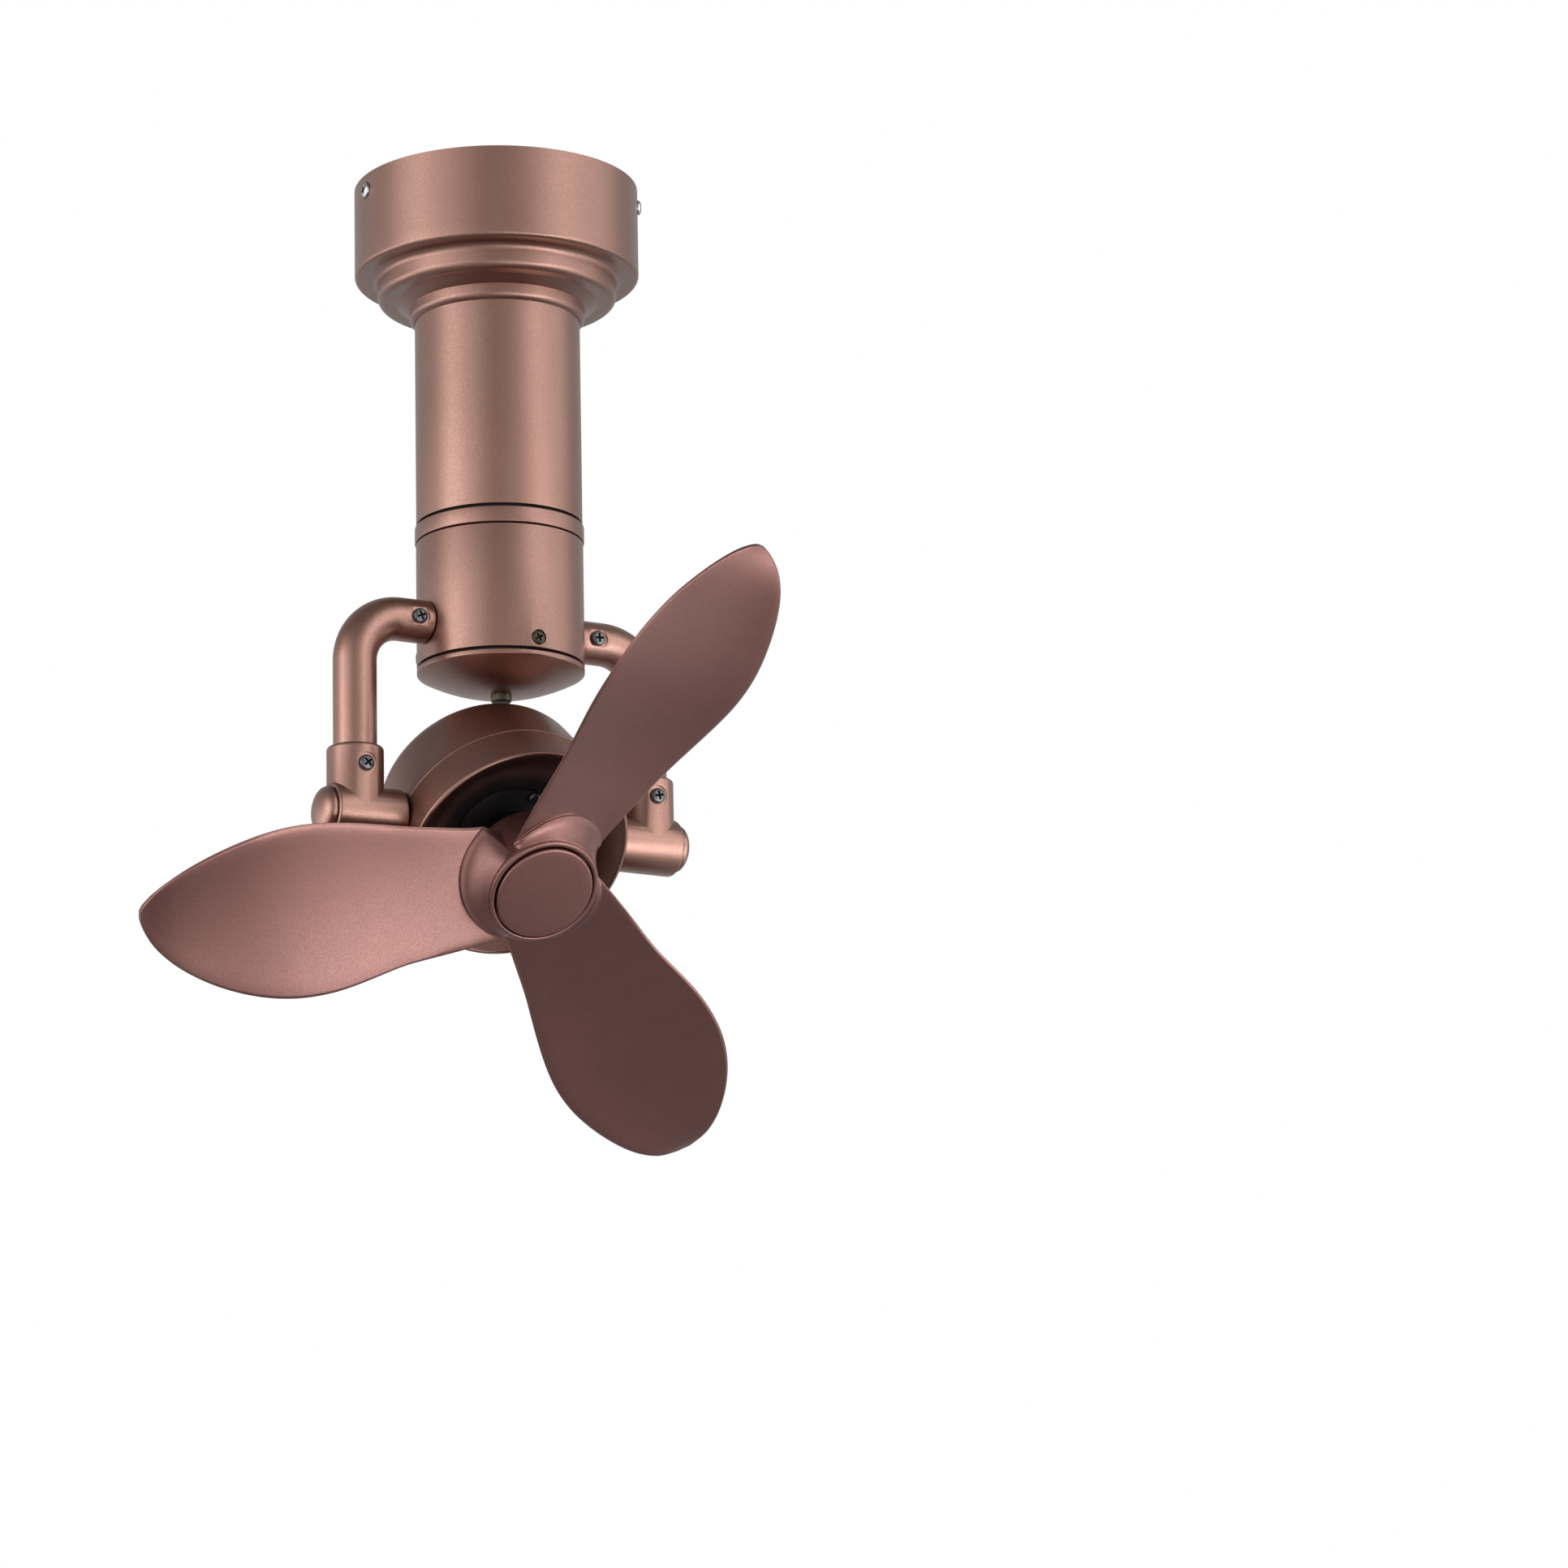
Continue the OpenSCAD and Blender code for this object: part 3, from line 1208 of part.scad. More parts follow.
function blade_point(u, v) = let (
    row = row_at(u),
    blend = min(1, u / 2),
    start = (ridge_reach(v) + petal_least / 2) * (1 - blend),
    x = start + row[0] * blend,
    y = (row[1] + row[2]) / 2 + (row[1] - row[2]) / 2 * v,
    camber = blade_camber_share * (row[1] - row[2]) * blend * (1 - v * v),
    base = row[4] + (row[3] - row[4]) * (v + 1) / 2 - camber)
  [x, y, base, base + blade_t / 2, base - blade_t / 2];

blade_stations = petal_cells + 1 + blade_last * row_cells + 1;
function station_point(k, v) = k <= petal_cells
  ? petal_point(k, v) : blade_point((k - petal_cells - 1) / row_cells, v);

function blade_loop(k) = concat(
  [for (i = [0:blade_cells]) let (v = across(i), p = station_point(k, v), e = fullness(v))
    [p[0], p[1], p[2] + (p[3] - p[2]) * e]],
  [for (i = [blade_cells - 1:-1:1]) let (v = across(i), p = station_point(k, v), e = fullness(v))
    [p[0], p[1], p[2] + (p[4] - p[2]) * e]]);

function blade_ends(first, last, n) = concat(
  [for (i = [0:blade_cells - 1]) let (a = i, b = i + 1, c = n - i - 1, d = (n - i) % n)
    each [if (b != c) [first + c, first + b, first + a], if (a != d) [first + d, first + c, first + a]]],
  [for (i = [0:blade_cells - 1]) let (a = i, b = i + 1, c = n - i - 1, d = (n - i) % n)
    each [if (b != c) [last + a, last + b, last + c], if (a != d) [last + a, last + c, last + d]]]);

// The tongue at a blade's root that enters a slot in the hub, grown by a clearance for the slot
module blade_tongue(grow) {
  pitch = atan((root_row[3] - root_row[4]) / (root_row[1] - root_row[2]));
  translate([hub_r - tongue_in - grow, root_mid, root_height(0)]) rotate([pitch, 0, 0])
    translate([0, -tongue_w / 2 - grow, -tongue_t / 2 - grow])
      cube([tongue_in + tongue_out + grow, tongue_w + 2 * grow, tongue_t + 2 * grow]);
}

// A paddle blade with the raised petal that laps the hub, moulded in one piece
module blade(index) {
  n = 2 * blade_cells;
  points = [for (k = [0:blade_stations - 1]) each blade_loop(k)];
  sides = [for (k = [0:blade_stations - 2], i = [0:n - 1])
    let (a = k * n + i, b = k * n + (i + 1) % n, c = b + n, d = a + n) each [[a, b, c], [a, c, d]]];
  color(dark_bronze) head_frame() rotate([0, 0, blade_angle + index * 360 / blade_count]) union() {
    polyhedron(points, concat(sides, blade_ends(0, (blade_stations - 1) * n, n)));
    blade_tongue(0);
  }
}

module blade_1() { blade(0); }

module blade_2() { blade(1); }

module blade_3() { blade(2); }

ceiling_bracket();
canopy();
canopy_screws();
stem_tube();
stem_bolts();
terminal_block();
bulkhead();
board_standoffs();
control_board();
swivel_motor();
spindle();
spindle_screws();
spindle_nut();
swivel_pinion();
swivel_ring();
swivel_gear();
swivel_bearings();
lower_housing();
ring_screws();
housing_screws();
arm_spigots();
arm_left();
arm_right();
arm_screws();
pivot_socket_left();
pivot_socket_right();
socket_screws();
pivot_cap_left();
pivot_cap_right();
dome_cap();
dome_nut();
trunnion_left();
trunnion_right();
pivot_washers();
pivot_nuts();
motor_front_shell();
motor_rear_shell();
shell_screws();
front_plate();
front_plate_screws();
stator_core();
stator_windings();
front_bearing();
rear_bearing();
rotor_shaft();
rotor_core();
hub();
blade_1();
blade_2();
blade_3();
hub_nut();
hub_cap();
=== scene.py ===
import json
from math import acos, asin, cos, degrees, pi, radians, sin

import bpy
from mathutils import Matrix, Vector

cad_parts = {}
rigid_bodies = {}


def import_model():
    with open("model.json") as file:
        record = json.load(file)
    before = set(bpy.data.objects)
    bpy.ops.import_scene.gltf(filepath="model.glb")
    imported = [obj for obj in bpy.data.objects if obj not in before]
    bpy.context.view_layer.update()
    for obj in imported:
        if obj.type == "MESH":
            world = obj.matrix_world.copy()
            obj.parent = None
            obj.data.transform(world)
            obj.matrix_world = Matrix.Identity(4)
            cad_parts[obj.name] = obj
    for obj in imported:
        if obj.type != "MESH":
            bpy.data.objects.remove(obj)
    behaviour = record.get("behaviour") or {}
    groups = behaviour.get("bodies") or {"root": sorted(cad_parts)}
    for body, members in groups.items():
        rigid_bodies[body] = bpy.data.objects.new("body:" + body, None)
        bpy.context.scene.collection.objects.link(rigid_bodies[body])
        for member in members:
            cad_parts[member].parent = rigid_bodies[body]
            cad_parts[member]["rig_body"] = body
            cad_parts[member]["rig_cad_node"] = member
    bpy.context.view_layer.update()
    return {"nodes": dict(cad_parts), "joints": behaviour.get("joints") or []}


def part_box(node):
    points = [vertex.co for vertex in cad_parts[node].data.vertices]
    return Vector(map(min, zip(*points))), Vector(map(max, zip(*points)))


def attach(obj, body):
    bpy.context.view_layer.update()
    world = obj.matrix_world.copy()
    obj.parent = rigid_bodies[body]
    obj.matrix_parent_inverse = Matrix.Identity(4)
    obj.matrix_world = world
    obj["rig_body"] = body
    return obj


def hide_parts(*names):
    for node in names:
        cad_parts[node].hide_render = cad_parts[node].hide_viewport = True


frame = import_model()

bl_info = {
    "name": "Ceiling corner fan",
    "version": (1, 0, 0),
    "blender": (4, 5, 0),
    "location": "3D View > Sidebar > Corner fan",
    "description": "Dresses the corner fan: painted canopy, stem, yoke and motor head, three paddle blades, "
                   "and a pale studio",
    "category": "Add Mesh",
}

MM = 0.001
NODES = frame["nodes"]
JOINTS = {joint["name"]: joint for joint in frame["joints"]}
PIVOT = Vector(JOINTS["head_tilt"]["pos_m"])
ROTOR_AXIS = Vector(JOINTS["rotor_spin"]["axis"])
TILT = asin(-ROTOR_AXIS.z)

# Angles of the camera and the screws, and twists of the cross recesses, in degrees
CAMERA_BEARING = -117
CANOPY_SCREWS = ((178, 20), (-28, 35), (75, 10))
HOUSING_SCREWS = ((-90, 30), (30, 12), (150, 50))
SHELL_SCREWS = (45, 135, 225, 315)

# Places in metres
CANOPY_SCREW_Z = -0.0088
CANOPY_SCREW_SUNK = 0.0006
HOUSING_SCREW_UP = 0.0055
HOUSING_SCREW_SUNK = 0.0014
DIMPLE_CLEAR = 0.003
ARM_SCREW_OUT = 0.0078
ARM_SPOT_DEPTH = 0.0009
SOCKET_REACH = 0.08165
SOCKET_RADIUS = 0.0143
SOCKET_SCREW_UP = 0.0233
SOCKET_SPOT_DEPTH = 0.0013
SPOT_RADIUS = 0.0053
SPOT_CLEAR = 0.004
TRUNNION_BORE = 0.00606
TRUNNION_HOLE = 0.0133
TRUNNION_HOLE_END = 0.065
SHELL_SCREW_CIRCLE = 0.0482
FLOOR_SIDE = 40.0
FLOOR_Z = -4.0
CAMERA_PLACE = (-1.41088, -2.76902, -1.09823)

# Softboxes: height and bearing from the camera's side, spread in degrees, brightness
SOFTBOXES = (
    (6, -67, 12, 3.8), (9, -35, 12, 1.4), (-2, -112, 12, 0.85), (-22, -52, 12, 1.2), (-8, 64, 12, 3.3),
    (26, 52, 12, 2.3), (19, 92, 12, 1.3), (-25, 96, 12, 1.6), (-26, 47, 11, 4.3), (-50, 165, 20, -0.12),
    (-26, 14, 11, 1.5), (10, 12, 14, 0.4), (-15, -95, 9, 2.4),
)


def half_width(node):
    low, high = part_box(node)
    return (high.x - low.x) / 2


class FanSizes(bpy.types.PropertyGroup):
    canopy_radius: bpy.props.FloatProperty(
        name="Canopy radius", description="Outside radius of the canopy's straight side",
        default=half_width("canopy"), min=0.05, max=0.1, unit="LENGTH")
    stem_radius: bpy.props.FloatProperty(
        name="Stem radius", description="Outside radius of the stem",
        default=half_width("stem_tube"), min=0.03, max=0.06, unit="LENGTH")
    ring_radius: bpy.props.FloatProperty(
        name="Ring radius", description="Outside radius of the swivelling ring",
        default=half_width("swivel_ring"), min=0.03, max=0.06, unit="LENGTH")
    housing_radius: bpy.props.FloatProperty(
        name="Housing radius", description="Outside radius of the lower housing",
        default=half_width("lower_housing"), min=0.03, max=0.06, unit="LENGTH")
    arm_radius: bpy.props.FloatProperty(
        name="Arm radius", description="Outside radius of the yoke's tubes",
        default=0.011, min=0.006, max=0.02, unit="LENGTH")
    bend_radius: bpy.props.FloatProperty(
        name="Bend radius", description="Radius of the arms' bends on the centre line",
        default=0.0244, min=0.015, max=0.04, unit="LENGTH")
    edge_radius: bpy.props.FloatProperty(
        name="Edge radius", description="Rounding of the turned and cut edges",
        default=0.0007, min=0.0002, max=0.002, unit="LENGTH")
    hub_cap_radius: bpy.props.FloatProperty(
        name="Hub cap radius", description="Radius of the disc in the middle of the rotor",
        default=0.0252, min=0.02, max=0.0256, unit="LENGTH")


class FanFinish(bpy.types.PropertyGroup):
    bronze: bpy.props.FloatVectorProperty(
        name="Bronze", description="Metallic paint of the canopy, stem, yoke and motor head",
        default=(0.31, 0.160, 0.122), size=3, min=0, max=1, subtype="COLOR")
    blade: bpy.props.FloatVectorProperty(
        name="Blade bronze", description="Redder metallic paint of the blades and hub",
        default=(0.245, 0.104, 0.087), size=3, min=0, max=1, subtype="COLOR")
    paint_roughness: bpy.props.FloatProperty(
        name="Paint roughness", description="Roughness of the metallic paint",
        default=0.42, min=0.1, max=0.8, subtype="FACTOR")
    flake: bpy.props.FloatProperty(
        name="Flake size", description="Size of the metal flakes that show in the paint",
        default=0.00045, min=0.0001, max=0.002, unit="LENGTH")


def sizes():
    return bpy.context.scene.fan_sizes


def finish():
    return bpy.context.scene.fan_finish


# Materials

def new_material(name):
    material = bpy.data.materials.new(name)
    material.use_nodes = True
    tree = material.node_tree
    tree.nodes.clear()
    output = tree.nodes.new("ShaderNodeOutputMaterial")
    shader = tree.nodes.new("ShaderNodeBsdfPrincipled")
    place = tree.nodes.new("ShaderNodeTexCoord")
    tree.links.new(shader.outputs["BSDF"], output.inputs["Surface"])
    return material, tree, shader, place.outputs["Object"]


def noise(tree, place, scale, detail, roughness=0.5):
    node = tree.nodes.new("ShaderNodeTexNoise")
    node.inputs["Scale"].default_value = scale
    node.inputs["Detail"].default_value = detail
    node.inputs["Roughness"].default_value = roughness
    tree.links.new(place, node.inputs["Vector"])
    return node.outputs["Fac"]


def cells(tree, place, scale):
    node = tree.nodes.new("ShaderNodeTexVoronoi")
    node.inputs["Scale"].default_value = scale
    tree.links.new(place, node.inputs["Vector"])
    return node.outputs["Color"]


def spread(tree, value, low, high, from_low=0.0, from_high=1.0):
    node = tree.nodes.new("ShaderNodeMapRange")
    node.inputs["From Min"].default_value = from_low
    node.inputs["From Max"].default_value = from_high
    node.inputs["To Min"].default_value = low
    node.inputs["To Max"].default_value = high
    tree.links.new(value, node.inputs["Value"])
    return node.outputs["Result"]


def mixed(tree, share, first, second):
    node = tree.nodes.new("ShaderNodeMix")
    node.data_type = "RGBA"
    for socket, value in ((node.inputs[6], first), (node.inputs[7], second)):
        if isinstance(value, bpy.types.NodeSocket):
            tree.links.new(value, socket)
        else:
            socket.default_value = (*value, 1.0)
    tree.links.new(share, node.inputs["Factor"])
    return node.outputs[2]


def bump(tree, height, shader, strength, distance, after=None):
    node = tree.nodes.new("ShaderNodeBump")
    node.inputs["Strength"].default_value = strength
    node.inputs["Distance"].default_value = distance
    tree.links.new(height, node.inputs["Height"])
    if after is not None:
        tree.links.new(after, node.inputs["Normal"])
    tree.links.new(node.outputs["Normal"], shader.inputs["Normal"])
    return node.outputs["Normal"]


def channel(tree, colour, name):
    node = tree.nodes.new("ShaderNodeSeparateColor")
    tree.links.new(colour, node.inputs["Color"])
    return node.outputs[name]


def off_axis(tree, place, near, far):
    """Rises from 0 to 1 between two distances from the rotor's axis."""
    offset = tree.nodes.new("ShaderNodeVectorMath")
    offset.operation = "SUBTRACT"
    tree.links.new(place, offset.inputs[0])
    offset.inputs[1].default_value = PIVOT
    across = tree.nodes.new("ShaderNodeVectorMath")
    across.operation = "CROSS_PRODUCT"
    tree.links.new(offset.outputs["Vector"], across.inputs[0])
    across.inputs[1].default_value = ROTOR_AXIS
    length = tree.nodes.new("ShaderNodeVectorMath")
    length.operation = "LENGTH"
    tree.links.new(across.outputs["Vector"], length.inputs[0])
    return spread(tree, length.outputs["Value"], 0.0, 1.0, near, far)


def metallic_paint(name, colour, roughness, flake, metallic=1.0, axis_shade=None):
    """Satin metallic paint: a fine sparkle of flakes, a faint mottle and a soft orange peel.

    Given two distances from the rotor's axis, the paint fades to near black towards the axis between them: painted
    shade in the motor head's recess."""
    coat = 0.85
    material, tree, shader, place = new_material(name)
    flakes = cells(tree, place, 1.0 / flake)
    glint = channel(tree, flakes, "Red")
    turn = channel(tree, flakes, "Green")
    mottle = noise(tree, place, 55.0, 3.0)
    dark = tuple(part * 0.96 for part in colour)
    light = tuple(min(1.0, part * 1.04) for part in colour)
    base = mixed(tree, spread(tree, mottle, 0.25, 0.75, 0.35, 0.65), dark, light)
    bright = tuple(min(1.0, part * 1.7) for part in colour)
    sparkle = mixed(tree, spread(tree, glint, 0.0, 0.22, 0.55, 1.0), base, bright)
    tree.links.new(spread(tree, turn, roughness * 0.86, roughness * 1.16), shader.inputs["Roughness"])
    if axis_shade is None:
        tree.links.new(sparkle, shader.inputs["Base Color"])
        shader.inputs["Metallic"].default_value = metallic
        shader.inputs["Coat Weight"].default_value = coat
    else:
        # Painted shade: near black, less metallic and less coated towards the rotor's axis, where the recess lies in
        # shade
        unshaded = off_axis(tree, place, *axis_shade)
        tree.links.new(mixed(tree, unshaded, (0.010, 0.010, 0.011), sparkle), shader.inputs["Base Color"])
        tree.links.new(spread(tree, unshaded, 0.0, metallic, 0.0, 0.6), shader.inputs["Metallic"])
        tree.links.new(spread(tree, unshaded, 0.3, coat), shader.inputs["Coat Weight"])
    shader.inputs["Coat Roughness"].default_value = 0.30
    peel = bump(tree, noise(tree, place, 950.0, 2.0), shader, 0.12, 0.00025)
    bump(tree, turn, shader, 0.10, 0.00006, after=peel)
    return material


def turned_metal(name, colour, roughness, grain, metallic=1.0):
    """Machined or plated metal with fine stretched marks and slight staining."""
    material, tree, shader, place = new_material(name)
    stretch = tree.nodes.new("ShaderNodeMapping")
    stretch.inputs["Scale"].default_value = (1.0, 1.0, 60.0)
    tree.links.new(place, stretch.inputs["Vector"])
    marks = noise(tree, stretch.outputs["Vector"], grain, 4.0, 0.6)
    stain = noise(tree, place, 120.0, 3.0)
    dull = tuple(part * 0.72 for part in colour)
    tree.links.new(mixed(tree, spread(tree, stain, 0.0, 1.0, 0.3, 0.7), dull, colour), shader.inputs["Base Color"])
    shader.inputs["Metallic"].default_value = metallic
    tree.links.new(spread(tree, marks, roughness * 0.8, roughness * 1.3), shader.inputs["Roughness"])
    bump(tree, marks, shader, 0.15, 0.00008)
    return material


def moulded(name, colour, roughness):
    """Moulded plastic or laminate with a fine spark-eroded texture."""
    material, tree, shader, place = new_material(name)
    fine = noise(tree, place, 1400.0, 3.0)
    broad = noise(tree, place, 90.0, 2.0)
    darker = tuple(part * 0.8 for part in colour)
    tree.links.new(mixed(tree, spread(tree, broad, 0.0, 1.0, 0.3, 0.7), darker, colour), shader.inputs["Base Color"])
    tree.links.new(spread(tree, fine, roughness * 0.9, roughness * 1.1), shader.inputs["Roughness"])
    shader.inputs["Specular IOR Level"].default_value = 0.4
    bump(tree, fine, shader, 0.2, 0.0001)
    return material


def wound_copper(name):
    """Enamelled copper wire laid in close turns."""
    material, tree, shader, place = new_material(name)
    turns = tree.nodes.new("ShaderNodeTexWave")
    turns.inputs["Scale"].default_value = 420.0
    turns.inputs["Distortion"].default_value = 1.5
    turns.inputs["Detail"].default_value = 2.0
    tree.links.new(place, turns.inputs["Vector"])
    wire = mixed(tree, turns.outputs["Fac"], (0.16, 0.05, 0.02), (0.60, 0.25, 0.10))
    tree.links.new(wire, shader.inputs["Base Color"])
    shader.inputs["Metallic"].default_value = 0.8
    tree.links.new(spread(tree, turns.outputs["Fac"], 0.45, 0.25), shader.inputs["Roughness"])
    bump(tree, turns.outputs["Fac"], shader, 0.5, 0.0003)
    return material


def laminations(name):
    """A stack of thin steel sheets, seen on edge."""
    material, tree, shader, place = new_material(name)
    sheets = noise(tree, place, 1800.0, 1.0)
    tree.links.new(mixed(tree, sheets, (0.16, 0.16, 0.17), (0.42, 0.42, 0.43)), shader.inputs["Base Color"])
    shader.inputs["Metallic"].default_value = 0.9
    tree.links.new(spread(tree, sheets, 0.35, 0.6), shader.inputs["Roughness"])
    bump(tree, sheets, shader, 0.3, 0.0002)
    return material


FINISH_OF = {
    "bronze_paint": ["canopy", "stem_tube", "swivel_ring", "lower_housing", "dome_cap", "motor_front_shell",
                     "motor_rear_shell"],
    # The yoke takes a lighter copy of the bronze paint: painted light
    "yoke_bronze_lit_copy": ["arm_left", "arm_right", "pivot_socket_left", "pivot_socket_right", "pivot_cap_left",
                   "pivot_cap_right"],
    "blade_paint": ["hub", "blade_1", "blade_2", "blade_3", "hub_cap"],
    "bright_chrome": ["canopy_screws"],
    "grey_nickel": ["arm_screws", "socket_screws"],
    "dull_zinc_and_shade": ["dome_nut", "housing_screws"],
    "black_oxide": ["shell_screws", "trunnion_left", "trunnion_right", "swivel_motor", "front_plate_screws"],
    "brass": ["board_standoffs", "swivel_pinion"],
    "black_fibre": ["pivot_washers", "front_plate", "arm_spigots"],
    "white_acetal": ["terminal_block", "swivel_gear"],
    "green_laminate": ["control_board"],
    "copper_windings": ["stator_windings"],
    "core_sheets": ["stator_core", "rotor_core"],
    "zinc_plate": ["ceiling_bracket", "stem_bolts", "bulkhead", "spindle", "spindle_screws", "spindle_nut",
                   "swivel_bearings", "ring_screws", "pivot_nuts", "front_bearing", "rear_bearing",
                   "rotor_shaft", "hub_nut"],
}


def make_finishes():
    look = finish()
    bronze = tuple(look.bronze)
    blade = tuple(look.blade)
    metallic_paint("bronze_paint", bronze, look.paint_roughness, look.flake)
    # Painted light: the same bronze made 15 percent lighter and a little glossier, so the yoke reads brighter than
    # the canopy and stem
    metallic_paint("yoke_bronze_lit_copy", tuple(part * 1.15 for part in bronze), look.paint_roughness * 0.92, look.flake)
    # The front shell's bronze, with painted shade darkening it to black towards the rotor's axis inside the recess
    metallic_paint("recess_paint_shaded", bronze, look.paint_roughness, look.flake, axis_shade=(0.034, 0.051))
    metallic_paint("blade_paint", blade, look.paint_roughness * 1.06, look.flake, metallic=0.96)
    turned_metal("bright_chrome", (0.80, 0.80, 0.82), 0.16, 900.0)
    turned_metal("black_oxide", (0.11, 0.12, 0.13), 0.34, 1200.0, metallic=0.9)
    turned_metal("grey_nickel", (0.17, 0.175, 0.18), 0.36, 1000.0)
    # Dull zinc for the housing screws; on the dome nut its darkness also stands for painted shade on the nut's
    # underside
    turned_metal("dull_zinc_and_shade", (0.12, 0.108, 0.072), 0.45, 900.0)
    turned_metal("brass", (0.34, 0.30, 0.15), 0.38, 900.0)
    turned_metal("zinc_plate", (0.55, 0.55, 0.56), 0.38, 700.0, metallic=0.95)
    moulded("black_fibre", (0.012, 0.011, 0.012), 0.55)
    moulded("gap_shadow", (0.010, 0.008, 0.008), 0.8)
    moulded("white_acetal", (0.72, 0.71, 0.66), 0.42)
    moulded("green_laminate", (0.02, 0.13, 0.05), 0.40)
    wound_copper("copper_windings")
    laminations("core_sheets")


def give(piece, material):
    piece.data.materials.clear()
    piece.data.materials.append(bpy.data.materials[material])


# Modelling helpers

def deselect():
    if bpy.context.object and bpy.context.object.mode != "OBJECT":
        bpy.ops.object.mode_set(mode="OBJECT")
    bpy.ops.object.select_all(action="DESELECT")


def only(piece):
    deselect()
    piece.select_set(True)
    bpy.context.view_layer.objects.active = piece


def edit(piece):
    only(piece)
    bpy.ops.object.mode_set(mode="EDIT")


def done():
    bpy.ops.object.mode_set(mode="OBJECT")


def named(name):
    piece = bpy.context.object
    piece.name = name
    piece.data.name = name
    return piece


def tidy(piece):
    edit(piece)
    bpy.ops.mesh.select_all(action="SELECT")
    bpy.ops.mesh.remove_doubles(threshold=0.000004)
    bpy.ops.mesh.normals_make_consistent(inside=False)
    done()


def smooth(piece, angle=32.0):
    only(piece)
    bpy.ops.object.shade_smooth_by_angle(angle=radians(angle))


def settle(piece, turn=(0.0, 0.0, 0.0), place=(0.0, 0.0, 0.0)):
    """Turns and moves a piece, and leaves its place in its mesh."""
    only(piece)
    piece.rotation_euler = turn
    piece.location = place
    bpy.ops.object.transform_apply(location=True, rotation=True, scale=True)


def into_head(piece):
    settle(piece, (pi / 2 + TILT, 0.0, 0.0), PIVOT)


def apply_modifier(piece, kind, **values):
    only(piece)
    bpy.ops.object.modifier_add(type=kind)
    modifier = piece.modifiers[-1]
    for key, value in values.items():
        setattr(modifier, key, value)
    bpy.ops.object.modifier_apply(modifier=modifier.name)


def soften(piece, width, segments, angle):
    apply_modifier(piece, "BEVEL", width=width, segments=segments, limit_method="ANGLE",
                   angle_limit=radians(angle), use_clamp_overlap=True, harden_normals=False)


def cut_away(piece, *tools):
    for tool in tools:
        apply_modifier(piece, "BOOLEAN", operation="DIFFERENCE", object=tool, solver="EXACT",
                       material_mode="TRANSFER")
        bpy.data.objects.remove(tool)


def join_solid(piece, other):
    apply_modifier(piece, "BOOLEAN", operation="UNION", object=other, solver="EXACT")
    bpy.data.objects.remove(other)


def seats(screws, circle, height):
    """The places, aims and twists of screws set radially round the stem's axis."""
    found = []
    for turn, twist in screws:
        aim = Vector((cos(radians(turn)), sin(radians(turn)), 0))
        found.append((aim * circle + Vector((0, 0, height)), aim, twist))
    return found


def arc(radius, height, bend, start, end, steps):
    """Points of a rounded corner in a turned outline."""
    return [(radius + bend * cos(radians(start + (end - start) * i / steps)),
             height + bend * sin(radians(start + (end - start) * i / steps))) for i in range(steps + 1)]


def turned(name, outline, segments):
    """A lathe piece: one point is drawn along the outline in millimetres, then spun round the Z axis."""
    deselect()
    radius, height = outline[0]
    bpy.ops.mesh.primitive_plane_add(size=0.001, location=(0, 0, 0))
    piece = named(name)
    bpy.ops.object.mode_set(mode="EDIT")
    bpy.ops.mesh.select_all(action="SELECT")
    bpy.ops.mesh.merge(type="CENTER")
    bpy.ops.transform.translate(value=(radius * MM, 0, height * MM))
    for next_radius, next_height in outline[1:]:
        step = ((next_radius - radius) * MM, 0, (next_height - height) * MM)
        bpy.ops.mesh.extrude_vertices_move(TRANSFORM_OT_translate={"value": step})
        radius, height = next_radius, next_height
    bpy.ops.mesh.select_all(action="SELECT")
    bpy.ops.mesh.spin(steps=segments, angle=2 * pi, center=(0, 0, 0), axis=(0, 0, 1), dupli=False)
    done()
    tidy(piece)
    return piece


def rod(name, radius, start, end, vertices=48):
    """A closed cylinder between two points."""
    start, end = Vector(start), Vector(end)
    deselect()
    bpy.ops.mesh.primitive_cylinder_add(vertices=vertices, radius=radius, depth=(end - start).length)
    piece = named(name)
    aim = (end - start).to_track_quat("Z", "Y").to_euler()
    settle(piece, aim, (start + end) / 2)
    return piece


def ride(piece, body, material, slot, *nodes):
    """Gives a piece its finish when one is named, hangs it on the body that carries it, and hides the nodes it
    stands for.
    """
    if material is not None:
        give(piece, material)
    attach(piece, body)
    if nodes:
        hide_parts(*nodes)


# Pieces

class CORNERFAN_OT_finishes(bpy.types.Operator):
    """Makes the paints, metals and plastics, and gives every CAD node its finish"""
    bl_idname = "corner_fan.finishes"
    bl_label = "Finishes"

    def execute(self, context):
        make_finishes()
        for material, nodes in FINISH_OF.items():
            for node in nodes:
                give(NODES[node], material)
        return {"FINISHED"}


